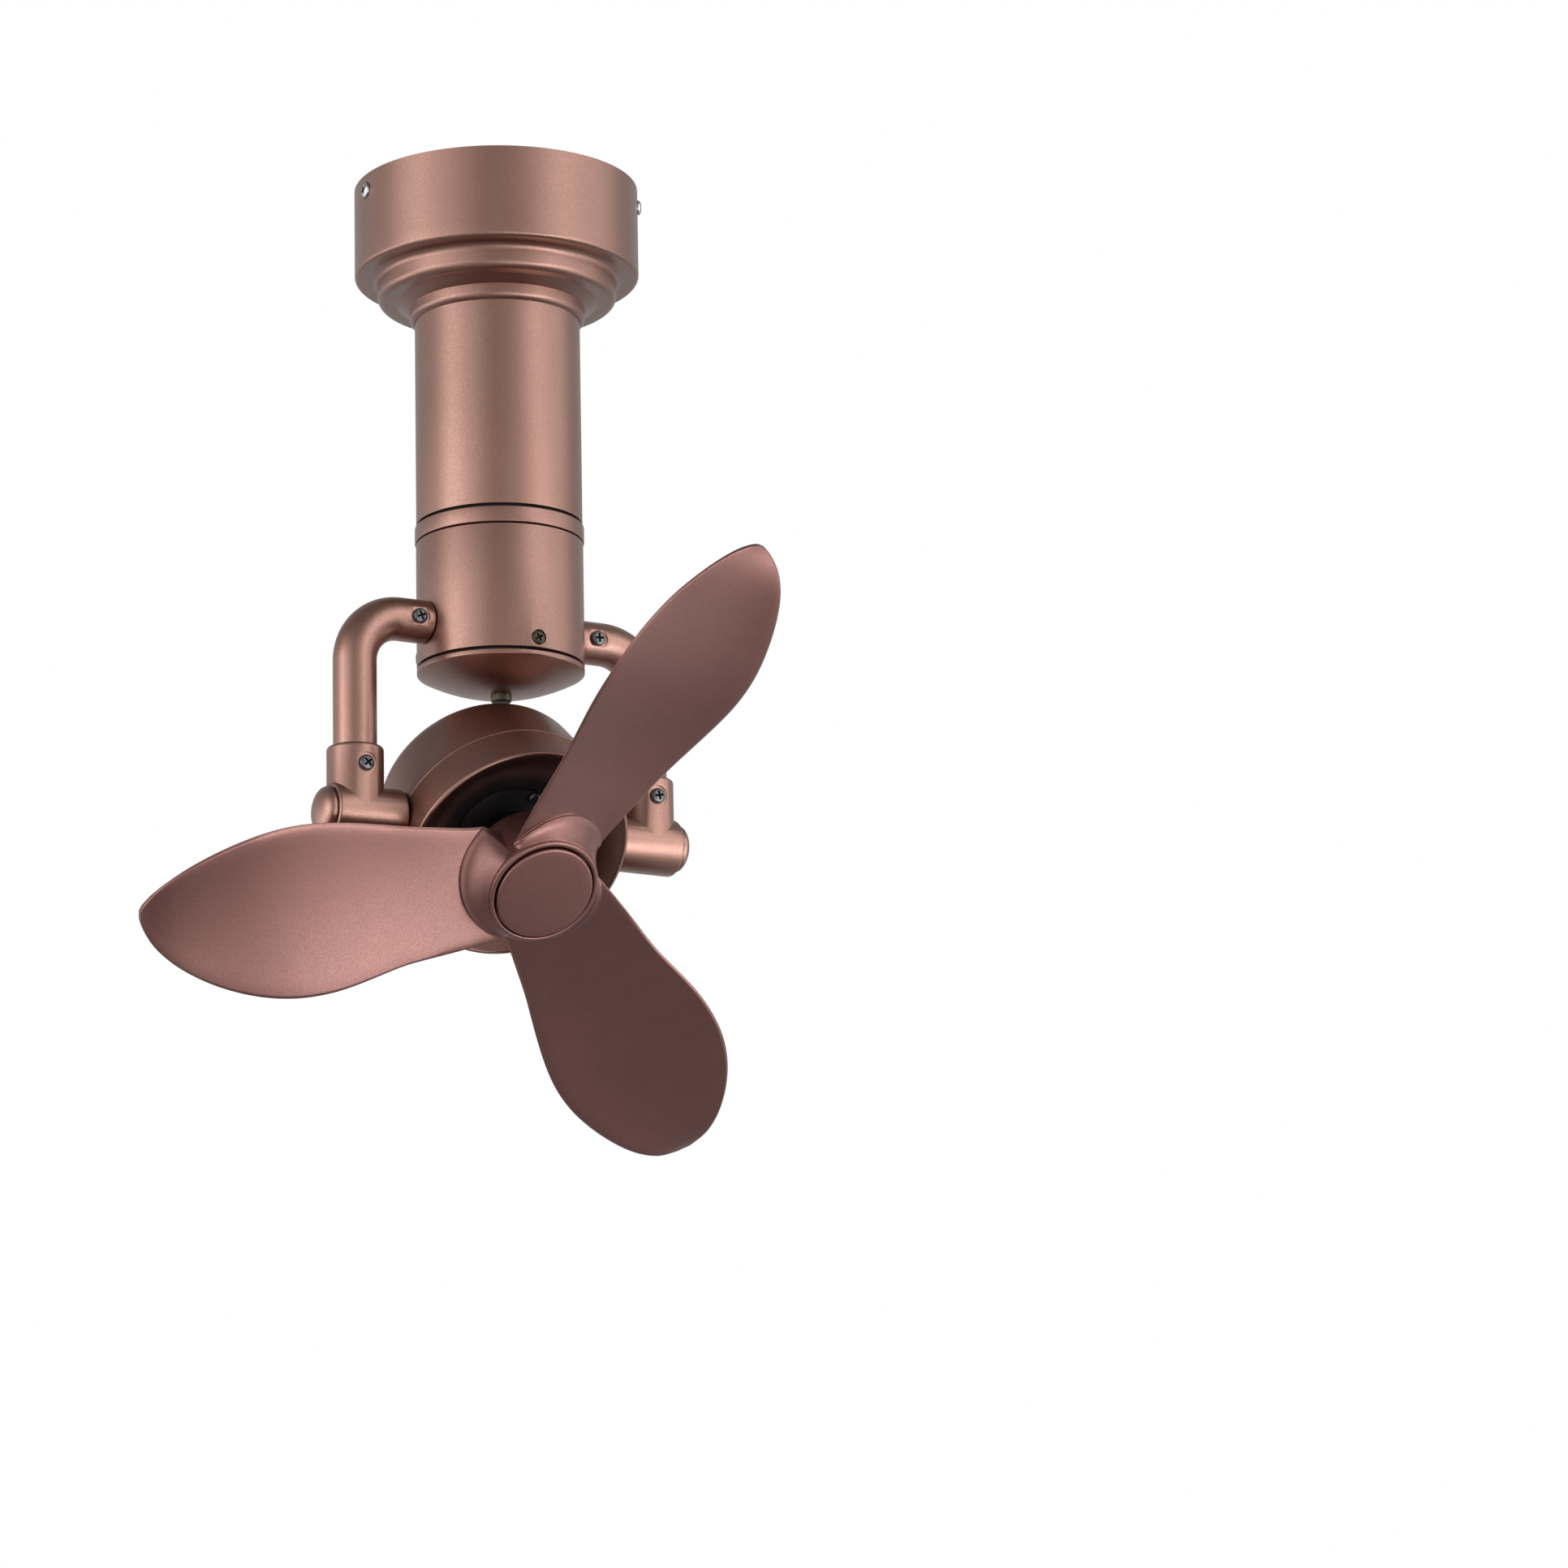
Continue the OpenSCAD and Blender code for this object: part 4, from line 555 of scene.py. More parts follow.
class CORNERFAN_OT_canopy(bpy.types.Operator):
    """Turns the stepped canopy with its two coves"""
    bl_idname = "corner_fan.canopy"
    bl_label = "Canopy"

    def execute(self, context):
        size = sizes()
        side = size.canopy_radius / MM - 0.01
        stem = size.stem_radius / MM
        outline = (
            [(side, -0.01), (side, -20.0), (side, -40.0)]
            + arc(side - 2.1, -45.4, 2.1, 0, -90, 10)
            + [(67.0, -47.5)]
            + arc(64.8, -51.2, 3.7, 90, 180, 12)
            + [(61.1, -56.3)]
            + arc(57.25, -56.35, 3.85, 0, -90, 12)
            + [(50.0, -60.2)]
            + arc(48.4, -63.7, 3.5, 90, 180, 10)
            + [(44.9, -67.7)]
            + arc(41.65, -67.75, 3.25, 0, -74, 10)
            + [(stem + 0.25, -71.0), (stem + 0.25, -66.0), (stem + 1.5, -64.0), (56.0, -58.0),
               (60.0, -45.6), (side - 6.0, -45.6), (side - 1.6, -41.0), (side - 1.6, -0.01), (side, -0.01)]
        )
        piece = turned("canopy_shell", outline, 160)
        for place, aim, _ in seats(CANOPY_SCREWS, size.canopy_radius - CANOPY_SCREW_SUNK, CANOPY_SCREW_Z):
            cut_away(piece, rod("dimple", 0.0045, place, place + aim * (CANOPY_SCREW_SUNK + DIMPLE_CLEAR)))
        smooth(piece)
        ride(piece, "mount", "bronze_paint", "bronze", "canopy")
        return {"FINISHED"}


class CORNERFAN_OT_stem(bpy.types.Operator):
    """Turns the stem and its top flange"""
    bl_idname = "corner_fan.stem"
    bl_label = "Stem"

    def execute(self, context):
        radius = sizes().stem_radius / MM
        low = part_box("stem_tube")[0].z / MM
        outline = (
            [(radius - 1.8, -60.0), (radius, -60.0), (radius, -120.0)]
            + arc(radius - 0.25, low + 0.85, 0.25, 0, -90, 4)
            + [(radius - 1.2, low + 0.7), (radius - 1.8, low + 1.6), (radius - 1.8, -60.0)]
        )
        piece = turned("stem_shell", outline, 160)
        smooth(piece)
        ride(piece, "mount", "bronze_paint", "bronze", "stem_tube")
        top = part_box("stem_tube")[1].z / MM
        upper = turned("stem_top_flange", [
            (28.0, top), (radius - 0.2, top), (radius, top - 0.5), (radius, -60.0), (radius - 1.8, -60.0),
            (radius - 1.8, top - 3.0), (28.0, top - 3.0), (28.0, top)], 96)
        smooth(upper)
        ride(upper, "mount", "bronze_paint", "bronze", "stem_tube")
        return {"FINISHED"}


class CORNERFAN_OT_housing(bpy.types.Operator):
    """Turns the swivelling ring, the lower housing, the dome and its small nut"""
    bl_idname = "corner_fan.housing"
    bl_label = "Swivel housing"

    def execute(self, context):
        size = sizes()
        ring = size.ring_radius / MM
        ring_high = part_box("stem_tube")[0].z / MM - 1.0
        ring_low = ring_high - 7.8
        outline = (
            [(39.0, ring_high - 0.15)] + arc(ring - 0.35, ring_high - 0.5, 0.35, 90, 0, 4)
            + arc(ring - 0.55, ring_low + 0.1, 0.55, 0, -90, 5)
            + [(ring - 1.2, ring_low - 0.4), (ring - 2.4, ring_low - 0.3), (39.0, ring_low - 0.3),
               (39.0, ring_high - 0.15)]
        )
        band = turned("swivel_ring_band", outline, 160)
        smooth(band)
        ride(band, "swivel", "bronze_paint", "bronze", "swivel_ring")
        # Painted shade: a near-black sleeve behind the ring fills the grooves above and below it, so they read dark
        shade_sleeve = turned("swivel_ring_shade_sleeve", [
            (15.0, -172.0), (18.4, -172.0), (18.4, ring_low + 3.5), (38.0, ring_low + 3.5), (38.0, ring_high + 2.8),
            (40.3, ring_high + 2.8), (40.3, ring_low - 2.0), (18.4, ring_low - 2.0), (18.4, -214.0),
            (15.0, -214.0), (15.0, -172.0)], 96)
        smooth(shade_sleeve)
        ride(shade_sleeve, "swivel", "gap_shadow", "black_plastic", "swivel_ring")

        shell = size.housing_radius / MM
        low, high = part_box("lower_housing")[0].z / MM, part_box("lower_housing")[1].z / MM
        outline = (
            [(30.0, high)] + arc(shell - 0.4, high - 0.4, 0.4, 90, 0, 4) + [(shell, (low + high) / 2)]
            + arc(shell - 0.35, low + 0.5, 0.35, 0, -90, 4)
            + [(shell - 1.8, low), (shell - 1.8, high - 2.0), (30.0, high - 2.0), (30.0, high)]
        )
        housing = turned("housing_shell", outline, 160)
        sunk = size.housing_radius - HOUSING_SCREW_SUNK
        for place, aim, _ in seats(HOUSING_SCREWS, sunk, low * MM + HOUSING_SCREW_UP):
            cut_away(housing, rod("dimple", 0.0041, place, place + aim * (HOUSING_SCREW_SUNK + DIMPLE_CLEAR)))
        smooth(housing, 30)
        ride(housing, "swivel", "bronze_paint", "bronze", "lower_housing")

        lip = low - 1.3
        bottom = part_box("dome_nut")[0].z / MM + 3.6
        outline = (
            [(shell - 5.0, low + 8.0), (shell - 2.6, low + 8.0), (shell - 2.6, lip)]
            + arc(shell - 0.3, lip - 0.3, 0.3, 90, 0, 4)
            + arc(shell - 0.75, lip - 2.0, 0.75, 0, -56, 6)
        )
        edge_r, edge_z = outline[-1]
        shares = [1 - i / 20 for i in range(1, 20)]
        outline += [(edge_r * share, bottom + (edge_z - bottom) * share ** 2) for share in shares]
        outline += [(0.0, bottom), (0.0, bottom + 1.8), (edge_r * 0.5, bottom + 3.7), (edge_r - 2.4, edge_z + 1.8),
                    (shell - 5.0, lip), (shell - 5.0, low + 8.0)]
        dome = turned("dome_cap_shell", outline, 160)
        smooth(dome)
        ride(dome, "swivel", "bronze_paint", "bronze", "dome_cap")
        # Painted shade: a near-black ring lines the groove between the housing and the dome, so it reads dark
        groove_shade = turned("dome_groove_shade", [
            (shell - 2.5, low + 0.4), (shell - 2.0, low + 0.2), (shell - 2.0, lip - 0.2), (shell - 2.5, lip - 0.4),
            (shell - 2.5, low + 0.4)], 128)
        smooth(groove_shade)
        ride(groove_shade, "swivel", "gap_shadow", "black_plastic", "dome_cap")

        nut = turned("dome_nut_turned", [
            (0.0, bottom - 3.6), (3.4, bottom - 3.6), (4.5, bottom - 3.4), (5.1, bottom - 2.8), (5.3, bottom - 1.8),
            (5.3, bottom + 0.3), (3.0, bottom + 0.3), (3.0, bottom + 7.8), (0.0, bottom + 7.8)], 64)
        smooth(nut)
        # Painted shade: the nut takes the dark zinc finish so that it reads as dark as its shaded underside
        ride(nut, "swivel", "dull_zinc_and_shade", "brass", "dome_nut")
        return {"FINISHED"}


class CORNERFAN_OT_arms(bpy.types.Operator):
    """Draws the two bent tubes of the yoke and copes them to the housing"""
    bl_idname = "corner_fan.arms"
    bl_label = "Yoke arms"

    def execute(self, context):
        size = sizes()
        radius, bend = size.arm_radius, size.bend_radius
        for side, node in ((-1, "arm_left"), (1, "arm_right")):
            low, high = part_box(node)
            reach = (high.x if side > 0 else -low.x) - radius
            level = high.z - radius
            deselect()
            bpy.ops.mesh.primitive_circle_add(vertices=64, radius=radius, fill_type="NGON")
            piece = named(node + "_tube")
            settle(piece, place=(side * reach, 0, low.z))
            edit(piece)
            bpy.ops.mesh.select_all(action="SELECT")
            for _ in range(4):
                bpy.ops.mesh.extrude_region_move(
                    TRANSFORM_OT_translate={"value": (0, 0, (level - bend - low.z) * 0.25)})
            bpy.ops.mesh.spin(steps=20, angle=-side * pi / 2, center=(side * (reach - bend), 0, level - bend),
                              axis=(0, -1, 0), dupli=False)
            for _ in range(2):
                bpy.ops.mesh.extrude_region_move(
                    TRANSFORM_OT_translate={"value": (-side * (reach - bend - 0.034) * 0.5, 0, 0)})
            done()
            tidy(piece)
            cope_low, cope_high = (0, 0, level - 0.05), (0, 0, level + 0.05)
            cut_away(piece, rod("cope", size.housing_radius + 0.0008, cope_low, cope_high, 160))
            screw_x = side * (size.housing_radius + ARM_SCREW_OUT)
            cut_away(piece, rod("spot", SPOT_RADIUS, (screw_x, -radius + ARM_SPOT_DEPTH, level),
                                (screw_x, -radius - SPOT_CLEAR, level)))
            soften(piece, size.edge_radius, 3, 38.0)
            smooth(piece, 35)
            ride(piece, "swivel", "yoke_bronze_lit_copy", "bronze", node)
        return {"FINISHED"}


class CORNERFAN_OT_sockets(bpy.types.Operator):
    """Joins each upright socket to its pivot barrel, and turns the domed end caps"""
    bl_idname = "corner_fan.sockets"
    bl_label = "Pivot sockets"

    def execute(self, context):
        size = sizes()
        for side, node, cap in ((-1, "pivot_socket_left", "pivot_cap_left"),
                                (1, "pivot_socket_right", "pivot_cap_right")):
            low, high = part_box(node)
            barrel = (high.y - low.y) / 2
            socket = SOCKET_RADIUS / MM
            mouth = size.arm_radius / MM + 0.15
            top = (high.z - PIVOT.z) / MM
            upright = turned("upright", [(0.0, -2.0), (socket, -2.0)] + arc(socket - 2.0, top - 2.0, 2.0, 0, 90, 8)
                             + [(mouth, top), (mouth, 15.3), (0.0, 15.3), (0.0, -2.0)], 72)
            settle(upright, place=(side * SOCKET_REACH, 0, PIVOT.z))
            inner, outer = (low.x, high.x) if side > 0 else (-high.x, -low.x)
            length = (outer - inner) / MM
            outline = (
                [(0.0, 0.0)] + arc(barrel / MM - 1.0, 1.0, 1.0, -90, 0, 5) + [(barrel / MM, length / 2)]
                + arc(barrel / MM - 1.4, length - 1.4, 1.4, 0, 90, 6)
                + [(12.9, length), (12.6, length - 0.8), (12.4, length - 0.8), (0.0, length - 0.8), (0.0, 0.0)]
            )
            piece = turned(node + "_casting", outline, 96)
            settle(piece, (0, side * pi / 2, 0), (side * inner, 0, PIVOT.z))
            join_solid(piece, upright)
            screw_x, screw_z = side * SOCKET_REACH, PIVOT.z + SOCKET_SCREW_UP
            cut_away(piece, rod("spot", SPOT_RADIUS, (screw_x, -SOCKET_RADIUS + SOCKET_SPOT_DEPTH, screw_z),
                                (screw_x, -SOCKET_RADIUS - SPOT_CLEAR, screw_z)))
            cut_away(piece, rod("bore", TRUNNION_BORE, (side * (inner - 0.002), 0, PIVOT.z),
                                (side * (outer + 0.002), 0, PIVOT.z)))
            soften(piece, size.edge_radius * 0.9, 3, 33.0)
            smooth(piece, 35)
            ride(piece, "swivel", "yoke_bronze_lit_copy", "bronze", node)
            plug = turned(cap + "_dome", [(0.0, -4.0), (10.4, -4.0), (10.4, -0.6), (11.9, -0.6), (12.2, -0.2)]
                          + [(12.2 * cos(radians(a)), 1.6 + 5.4 * sin(radians(a))) for a in range(0, 90, 6)]
                          + [(0.0, 7.0), (0.0, -4.0)], 96)
            settle(plug, (0, side * pi / 2, 0), (side * outer, 0, PIVOT.z))
            smooth(plug, 40)
            ride(plug, "swivel", "yoke_bronze_lit_copy", "bronze", cap)
        return {"FINISHED"}


class CORNERFAN_OT_motor(bpy.types.Operator):
    """Turns the front and rear shells of the motor head"""
    bl_idname = "corner_fan.motor"
    bl_label = "Motor head"

    def execute(self, context):
        radius = 58.4
        wall = 2.2
        bowl = 16.0
        dish = 40.0
        lip = 24.3
        lip_bend = 0.6
        bottom = 6.0
        slope = acos((bottom + dish - lip + lip_bend) / (dish + lip_bend))
        inner = radius - wall
        outline = (
            [(inner, 0.6), (radius - 0.5, 0.6)]
            + arc(radius - 0.25, 1.15, 0.5, -90, 60, 8) + [(radius, 1.8), (radius, 12.0)]
            + arc(radius - 1.3, lip - 1.3, 1.3, 0, 90, 6)
            + arc(inner + lip_bend, lip - lip_bend, lip_bend, 90, 90 + degrees(slope), 4)
            + arc(inner + lip_bend - (dish + lip_bend) * sin(slope), bottom + dish, dish,
                  -90 + degrees(slope), -90, 24)
            + [(15.4, bottom), (14.8, 6.4), (14.6, 7.0), (11.0, 7.0), (11.0, 2.9), (14.6, 2.6), (14.6, 3.0)]
            + arc(inner - bowl, bottom + bowl, bowl + 3.0, -90, -33, 12)
            + [(inner, 0.6)]
        )
        front = turned("front_shell_turned", outline, 160)
        into_head(front)
        for side in (-1, 1):
            cut_away(front, rod("side_hole", TRUNNION_HOLE, PIVOT + Vector((side * 0.0551, 0, 0)),
                                PIVOT + Vector((side * TRUNNION_HOLE_END, 0, 0)), 64))
        smooth(front, 30)
        # The recess inside the front shell is darkened towards the axis by painted shade in its paint
        ride(front, "head", "recess_paint_shaded", "bronze", "motor_front_shell")
        plate = turned("front_plate_disc", [(15.0, 6.0), (27.8, 6.0), (28.0, 6.5), (27.7, 7.2), (27.2, 7.5),
                                            (15.4, 7.5), (15.0, 7.2), (15.0, 6.0)], 96)
        into_head(plate)
        smooth(plate)
        ride(plate, "head", "black_fibre", "black_plastic", "front_plate")

        rim = 57.9
        rear = 55.19
        straight = -28.8
        deep = 24.56
        outline = (
            [(56.0, 0.6), (57.5, 0.6), (rim, 0.2), (rim, -0.4)]
            + [(rim + (rear - rim) * i / 6, -0.4 + (straight + 0.4) * i / 6) for i in range(1, 7)]
            + [(rear * cos(radians(a)), straight - deep * sin(radians(a))) for a in range(5, 90, 5)]
            + [(0.0, straight - deep), (0.0, straight - deep + wall)]
            + [((rear - wall) * cos(radians(a)), straight - (deep - wall) * sin(radians(a)))
               for a in range(80, 0, -16)]
            + [(rear - wall, straight), (55.7, 0.0), (56.0, 0.6)]
        )
        back = turned("rear_shell_turned", outline, 160)
        for turn in SHELL_SCREWS:
            x, y = SHELL_SCREW_CIRCLE * cos(radians(turn)), SHELL_SCREW_CIRCLE * sin(radians(turn))
            cut_away(back, rod("pocket", 0.0042, (x, y, -0.0534), (x, y, -0.034)))
            join_solid(back, rod("pocket_floor", 0.0043, (x, y, -0.0358), (x, y, -0.0339)))
        into_head(back)
        for side in (-1, 1):
            cut_away(back, rod("side_hole", TRUNNION_HOLE, PIVOT + Vector((side * 0.0526, 0, 0)),
                               PIVOT + Vector((side * TRUNNION_HOLE_END, 0, 0)), 64))
        soften(back, 0.0004, 2, 50.0)
        smooth(back, 30)
        ride(back, "head", "bronze_paint", "bronze", "motor_rear_shell")
        return {"FINISHED"}


class CORNERFAN_OT_hub(bpy.types.Operator):
    """Turns the hub with its ring and groove, and the disc in its middle"""
    bl_idname = "corner_fan.hub"
    bl_label = "Hub"

    def execute(self, context):
        cap = sizes().hub_cap_radius / MM
        front = 61.3
        drum = 28.8
        groove = 26.0
        outline = (
            [(4.0, 33.0), (4.0, 13.0), (9.0, 13.0), (9.0, 26.0), (13.8, 26.0), (13.8, 13.5), (14.2, 13.0),
             (15.0, 13.0), (15.4, 13.5), (15.4, 28.4), (16.0, 29.0), (27.9, 29.0), (28.8, 29.9), (drum + 0.15, 40.0),
             (drum + 0.15, front - 1.75), (drum, front - 1.6)]
            + arc(drum - 1.3, front - 1.3, 1.3, 0, 90, 8)
            + arc(groove + 0.9, front - 0.9, 0.9, 90, 180, 6)
            + [(groove, front - 4.6), (12.5, front - 4.6), (12.5, front - 12.0), (4.0, front - 12.0), (4.0, 33.0)]
        )
        hub = turned("hub_turned", outline, 128)
        into_head(hub)
        smooth(hub)
        ride(hub, "rotor", "blade_paint", "blade_bronze", "hub")
        top = front + 1.8
        crown = 0.45
        disc = turned("hub_cap_disc", [(0.0, front - 4.6), (cap, front - 4.6), (cap, front)]
                      + arc(cap - 1.2, top - crown - 1.2, 1.2, 0, 88, 8)
                      + [(reach, top - crown * (reach / cap) ** 2)
                         for reach in (21.0, 17.5, 14.0, 10.5, 7.0, 3.5, 0.0)]
                      + [(0.0, front - 4.6)], 128)
        into_head(disc)
        smooth(disc)
        ride(disc, "rotor", "blade_paint", "blade_bronze", "hub_cap")
        return {"FINISHED"}


class CORNERFAN_OT_blades(bpy.types.Operator):
    """Smooths a copy of each moulded blade with its petal"""
    bl_idname = "corner_fan.blades"
    bl_label = "Blades"

    def execute(self, context):
        for node in ("blade_1", "blade_2", "blade_3"):
            only(NODES[node])
            bpy.ops.object.duplicate()
            piece = named(node + "_moulding")
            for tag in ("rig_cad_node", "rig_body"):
                del piece[tag]
            bpy.ops.object.parent_clear(type="CLEAR_KEEP_TRANSFORM")
            edit(piece)
            bpy.ops.mesh.select_all(action="SELECT")
            bpy.ops.mesh.remove_doubles(threshold=0.00001)
            bpy.ops.mesh.tris_convert_to_quads(face_threshold=radians(60), shape_threshold=radians(60))
            # Edges sharper than 30 degrees keep half their crispness when the rest is smoothed
            bpy.ops.mesh.select_all(action="DESELECT")
            bpy.ops.mesh.select_mode(type="EDGE")
            bpy.ops.mesh.edges_select_sharp(sharpness=radians(30))
            bpy.ops.transform.edge_crease(value=0.5)
            bpy.ops.mesh.select_mode(type="VERT")
            done()
            apply_modifier(piece, "SUBSURF", levels=3, render_levels=3)
            smooth(piece, 50)
            ride(piece, "rotor", "blade_paint", "blade_bronze", node)
        return {"FINISHED"}


def cross_screw(material, head, height, shank, length):
    """A pan-head screw whose cross recess is painted near black as shade, standing on the XY plane."""
    outline = ([(0.0, -length), (shank * 0.7, -length), (shank, -length + 0.6), (shank, 0.0), (head - 0.1, 0.0),
                (head, 0.15), (head, height * 0.4)]
               + [(head * cos(radians(a)) ** 0.72, height * 0.4 + height * 0.6 * sin(radians(a)))
                  for a in range(10, 90, 10)]
               + [(0.0, height)])
    piece = turned("pattern", outline, 40)
    give(piece, material)
    deselect()
    bpy.ops.mesh.primitive_cube_add(size=1.0)
    slot = named("recess")
    edit(slot)
    bpy.ops.mesh.select_all(action="SELECT")
    bpy.ops.transform.resize(value=(head * 1.2 * MM, head * 0.3 * MM, height * 1.3 * MM))
    bpy.ops.transform.translate(value=(0, 0, height * 0.95 * MM))
    done()
    # Painted shade: the cutters carry the near-black gap_shadow material onto the cut faces of the cross
    give(slot, "gap_shadow")
    only(slot)
    bpy.ops.object.duplicate()
    second = named("recess_second")
    settle(second, (0, 0, pi / 2))
    cut_away(piece, slot, second)
    soften(piece, 0.00006, 1, 45.0)
    smooth(piece, 35)
    return piece


def copies_at(pattern, name, spots):
    """Copies a piece to each (place, aim, twist) and joins the copies into one piece."""
    made = []
    for place, aim, twist in spots:
        only(pattern)
        bpy.ops.object.duplicate()
        piece = named("copy")
        turn = Vector(aim).to_track_quat("Z", "Y").to_matrix().to_4x4() @ Matrix.Rotation(radians(twist), 4, "Z")
        settle(piece, turn.to_euler(), place)
        made.append(piece)
    deselect()
    for piece in made:
        piece.select_set(True)
    bpy.context.view_layer.objects.active = made[0]
    bpy.ops.object.join()
    bpy.data.objects.remove(pattern)
    return named(name)


class CORNERFAN_OT_screws(bpy.types.Operator):
    """Sets the cross-headed screws in the canopy, housing, arms and sockets"""
    bl_idname = "corner_fan.screws"
    bl_label = "Screws"

    def execute(self, context):
        size = sizes()
        pattern = cross_screw("bright_chrome", 3.8, 2.6, 1.5, 6.0)
        spots = seats(CANOPY_SCREWS, size.canopy_radius - CANOPY_SCREW_SUNK, CANOPY_SCREW_Z)
        piece = copies_at(pattern, "canopy_screw_set", spots)
        ride(piece, "mount", None, "chrome", "canopy_screws")

        pattern = cross_screw("dull_zinc_and_shade", 3.6, 1.9, 1.5, 5.5)
        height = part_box("lower_housing")[0].z + HOUSING_SCREW_UP
        spots = seats(HOUSING_SCREWS, size.housing_radius - HOUSING_SCREW_SUNK, height)
        piece = copies_at(pattern, "housing_screw_set", spots)
        ride(piece, "swivel", None, "black_screw", "housing_screws")

        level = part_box("arm_left")[1].z - size.arm_radius
        pattern = cross_screw("grey_nickel", 3.9, 2.3, 1.9, 5.5)
        reach = size.housing_radius + ARM_SCREW_OUT
        spots = [((side * reach, -size.arm_radius + ARM_SPOT_DEPTH, level), (0, -1, 0), twist)
                 for side, twist in ((-1, 22), (1, 4))]
        piece = copies_at(pattern, "arm_screw_set", spots)
        ride(piece, "swivel", None, "black_screw", "arm_screws")

        pattern = cross_screw("grey_nickel", 3.9, 2.3, 1.9, 5.0)
        spots = [((side * SOCKET_REACH, -SOCKET_RADIUS + SOCKET_SPOT_DEPTH, PIVOT.z + SOCKET_SCREW_UP),
                  (0, -1, 0), twist) for side, twist in ((-1, 40), (1, 12))]
        piece = copies_at(pattern, "socket_screw_set", spots)
        ride(piece, "swivel", None, "black_screw", "socket_screws")
        return {"FINISHED"}


def calculated(tree, operation, *values):
    """A math node, fed with sockets or plain numbers."""
    node = tree.nodes.new("ShaderNodeMath")
    node.operation = operation
    for socket, value in zip(node.inputs, values):
        if isinstance(value, bpy.types.NodeSocket):
            tree.links.new(value, socket)
        else:
            socket.default_value = value
    return node.outputs["Value"]


def towards(tree, seen, height, bearing):
    """How far a direction agrees with one given by its height and its bearing from the camera's side."""
    turn = radians(CAMERA_BEARING + bearing)
    rise = radians(height)
    node = tree.nodes.new("ShaderNodeVectorMath")
    node.operation = "DOT_PRODUCT"
    tree.links.new(seen, node.inputs[0])
    node.inputs[1].default_value = (cos(rise) * cos(turn), cos(rise) * sin(turn), sin(rise))
    return node.outputs["Value"]


def facing(tree, seen, height, bearing, light, glow):
    """Adds a wide wall of light, or of shade, that fades to nothing at a right angle."""
    share = calculated(tree, "MAXIMUM", towards(tree, seen, height, bearing), 0.0)
    return calculated(tree, "MULTIPLY_ADD", share, glow, light)


def softbox(tree, seen, height, bearing, angle, light, glow):
    """Adds a round softbox with a soft edge."""
    near = calculated(tree, "SUBTRACT", towards(tree, seen, height, bearing), 1.0)
    share = calculated(tree, "EXPONENT", calculated(tree, "MULTIPLY", near, 1 / radians(angle) ** 2))
    return calculated(tree, "MULTIPLY_ADD", share, glow, light)


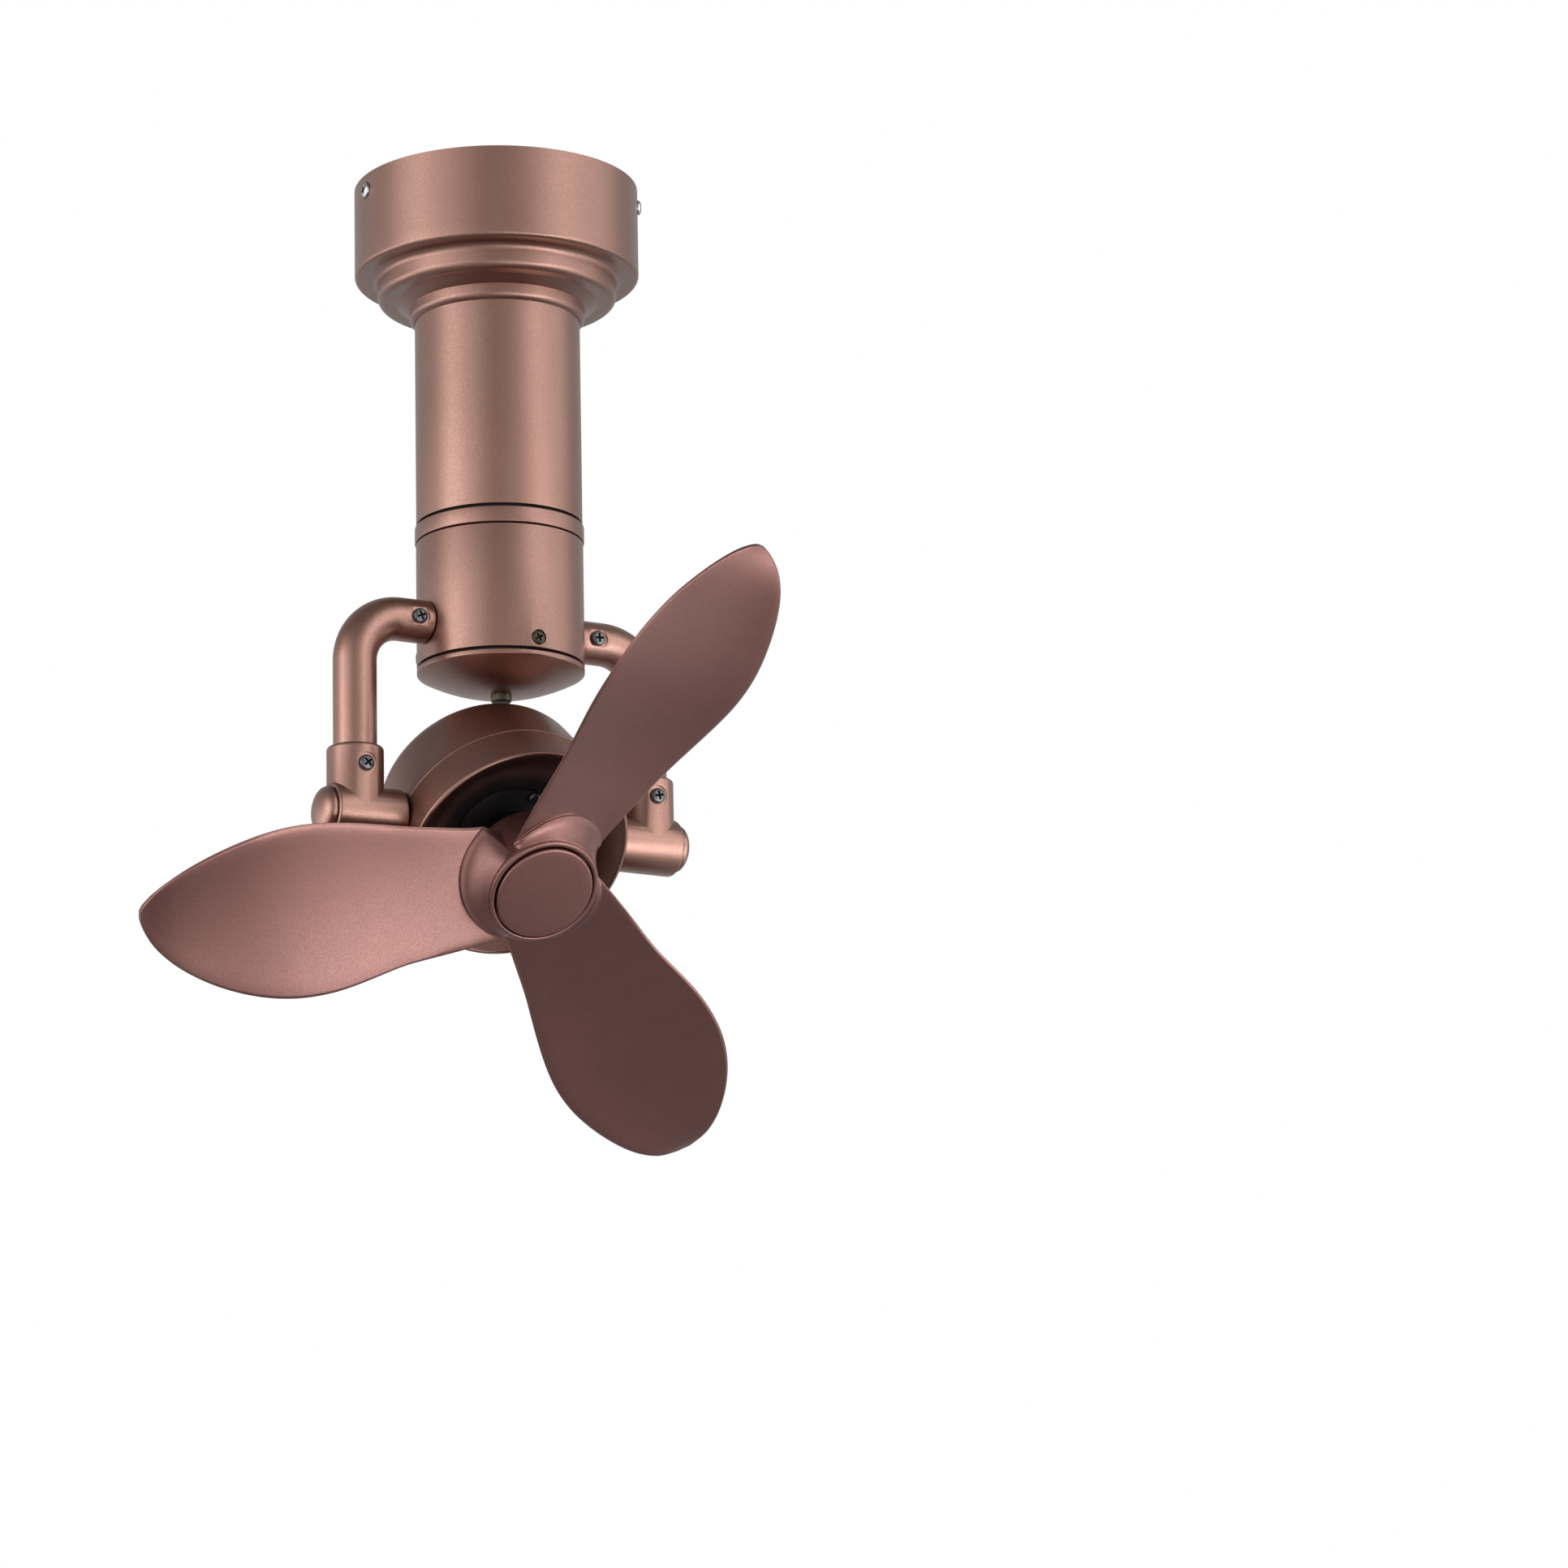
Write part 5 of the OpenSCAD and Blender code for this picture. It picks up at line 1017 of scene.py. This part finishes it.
class CORNERFAN_OT_stage(bpy.types.Operator):
    """Lays the pale floor and sets the soft light of the studio and the camera"""
    bl_idname = "corner_fan.stage"
    bl_label = "Studio"

    def execute(self, context):
        deselect()
        bpy.ops.mesh.primitive_plane_add(size=1.0)
        floor = named("studio_floor")
        edit(floor)
        bpy.ops.mesh.select_all(action="SELECT")
        bpy.ops.transform.resize(value=(FLOOR_SIDE, FLOOR_SIDE, 1.0))
        bpy.ops.transform.translate(value=(0, 0, FLOOR_Z))
        bpy.ops.mesh.subdivide(number_cuts=3)
        done()
        material, tree, shader, place = new_material("studio_floor_paper")
        shade = noise(tree, place, 1.2, 2.0)
        tree.links.new(mixed(tree, shade, (0.86, 0.86, 0.86), (0.92, 0.92, 0.92)), shader.inputs["Base Color"])
        shader.inputs["Roughness"].default_value = 0.9
        floor.data.materials.append(material)
        floor.visible_glossy = False

        context.scene.view_settings.view_transform = "Standard"
        world = bpy.data.worlds.new("studio_world")
        context.scene.world = world
        world.use_nodes = True
        tree = world.node_tree
        tree.nodes.clear()
        path = tree.nodes.new("ShaderNodeLightPath")
        backdrop = tree.nodes.new("ShaderNodeBackground")
        room = tree.nodes.new("ShaderNodeBackground")
        either = tree.nodes.new("ShaderNodeMixShader")
        output = tree.nodes.new("ShaderNodeOutputWorld")
        seen = tree.nodes.new("ShaderNodeTexCoord").outputs["Generated"]

        # The tent: its even wall, its darker roof and the brighter wall behind the fan
        light = facing(tree, seen, 90, 0, 0.33, -0.13)
        light = facing(tree, seen, 0, 180, light, 0.16)
        for height, bearing, angle, glow in SOFTBOXES:
            light = softbox(tree, seen, height, bearing, angle, light, glow)
        # Diffuse rays meet one even brightness, and the camera a plain white backdrop
        even = tree.nodes.new("ShaderNodeMix")
        even.inputs["B"].default_value = 0.9
        tree.links.new(path.outputs["Is Diffuse Ray"], even.inputs["Factor"])
        tree.links.new(light, even.inputs["A"])
        tree.links.new(even.outputs["Result"], room.inputs["Strength"])
        tree.links.new(path.outputs["Is Camera Ray"], either.inputs["Fac"])
        tree.links.new(room.outputs["Background"], either.inputs[1])
        tree.links.new(backdrop.outputs["Background"], either.inputs[2])
        tree.links.new(either.outputs["Shader"], output.inputs["Surface"])
        for shade in (room, backdrop):
            shade.inputs["Color"].default_value = (1.0, 1.0, 1.0, 1.0)

        camera = bpy.data.cameras.new("camera")
        camera.sensor_fit = "HORIZONTAL"
        camera.sensor_width = 36.0
        camera.lens = 146.31
        camera.clip_start = 0.05
        camera.clip_end = 60.0
        eye = bpy.data.objects.new("camera", camera)
        context.scene.collection.objects.link(eye)
        # The three directions of the photo's camera, fitted to the picture
        right = Vector((0.871797, -0.489418, -0.020957))
        up = Vector((-0.101834, -0.222911, 0.969505))
        back = -Vector((0.479165, 0.843078, 0.244173))
        turn = Matrix((right, up, back)).transposed()
        eye.matrix_world = Matrix.Translation(CAMERA_PLACE) @ turn.to_4x4()
        context.scene.camera = eye
        return {"FINISHED"}


class CORNERFAN_PT_panel(bpy.types.Panel):
    """Lists the fan's pieces in the sidebar"""
    bl_idname = "CORNERFAN_PT_panel"
    bl_label = "Corner fan"
    bl_space_type = "VIEW_3D"
    bl_region_type = "UI"
    bl_category = "Corner fan"

    def draw(self, context):
        column = self.layout.column(align=True)
        for group in (context.scene.fan_sizes, context.scene.fan_finish):
            for prop in group.bl_rna.properties:
                if prop.identifier not in ("rna_type", "name"):
                    column.prop(group, prop.identifier)
        for operator in OPERATORS:
            column.operator(operator.bl_idname)


OPERATORS = (
    CORNERFAN_OT_finishes,
    CORNERFAN_OT_canopy,
    CORNERFAN_OT_stem,
    CORNERFAN_OT_housing,
    CORNERFAN_OT_arms,
    CORNERFAN_OT_sockets,
    CORNERFAN_OT_motor,
    CORNERFAN_OT_hub,
    CORNERFAN_OT_blades,
    CORNERFAN_OT_screws,
    CORNERFAN_OT_stage,
)
CLASSES = (FanSizes, FanFinish, *OPERATORS, CORNERFAN_PT_panel)


def register():
    for entry in CLASSES:
        bpy.utils.register_class(entry)
    bpy.types.Scene.fan_sizes = bpy.props.PointerProperty(type=FanSizes)
    bpy.types.Scene.fan_finish = bpy.props.PointerProperty(type=FanFinish)


def unregister():
    del bpy.types.Scene.fan_finish
    del bpy.types.Scene.fan_sizes
    for entry in reversed(CLASSES):
        bpy.utils.unregister_class(entry)


def main():
    register()
    for operator in OPERATORS:
        group, name = operator.bl_idname.split(".")
        getattr(getattr(bpy.ops, group), name)()


if __name__ == "__main__":
    main()
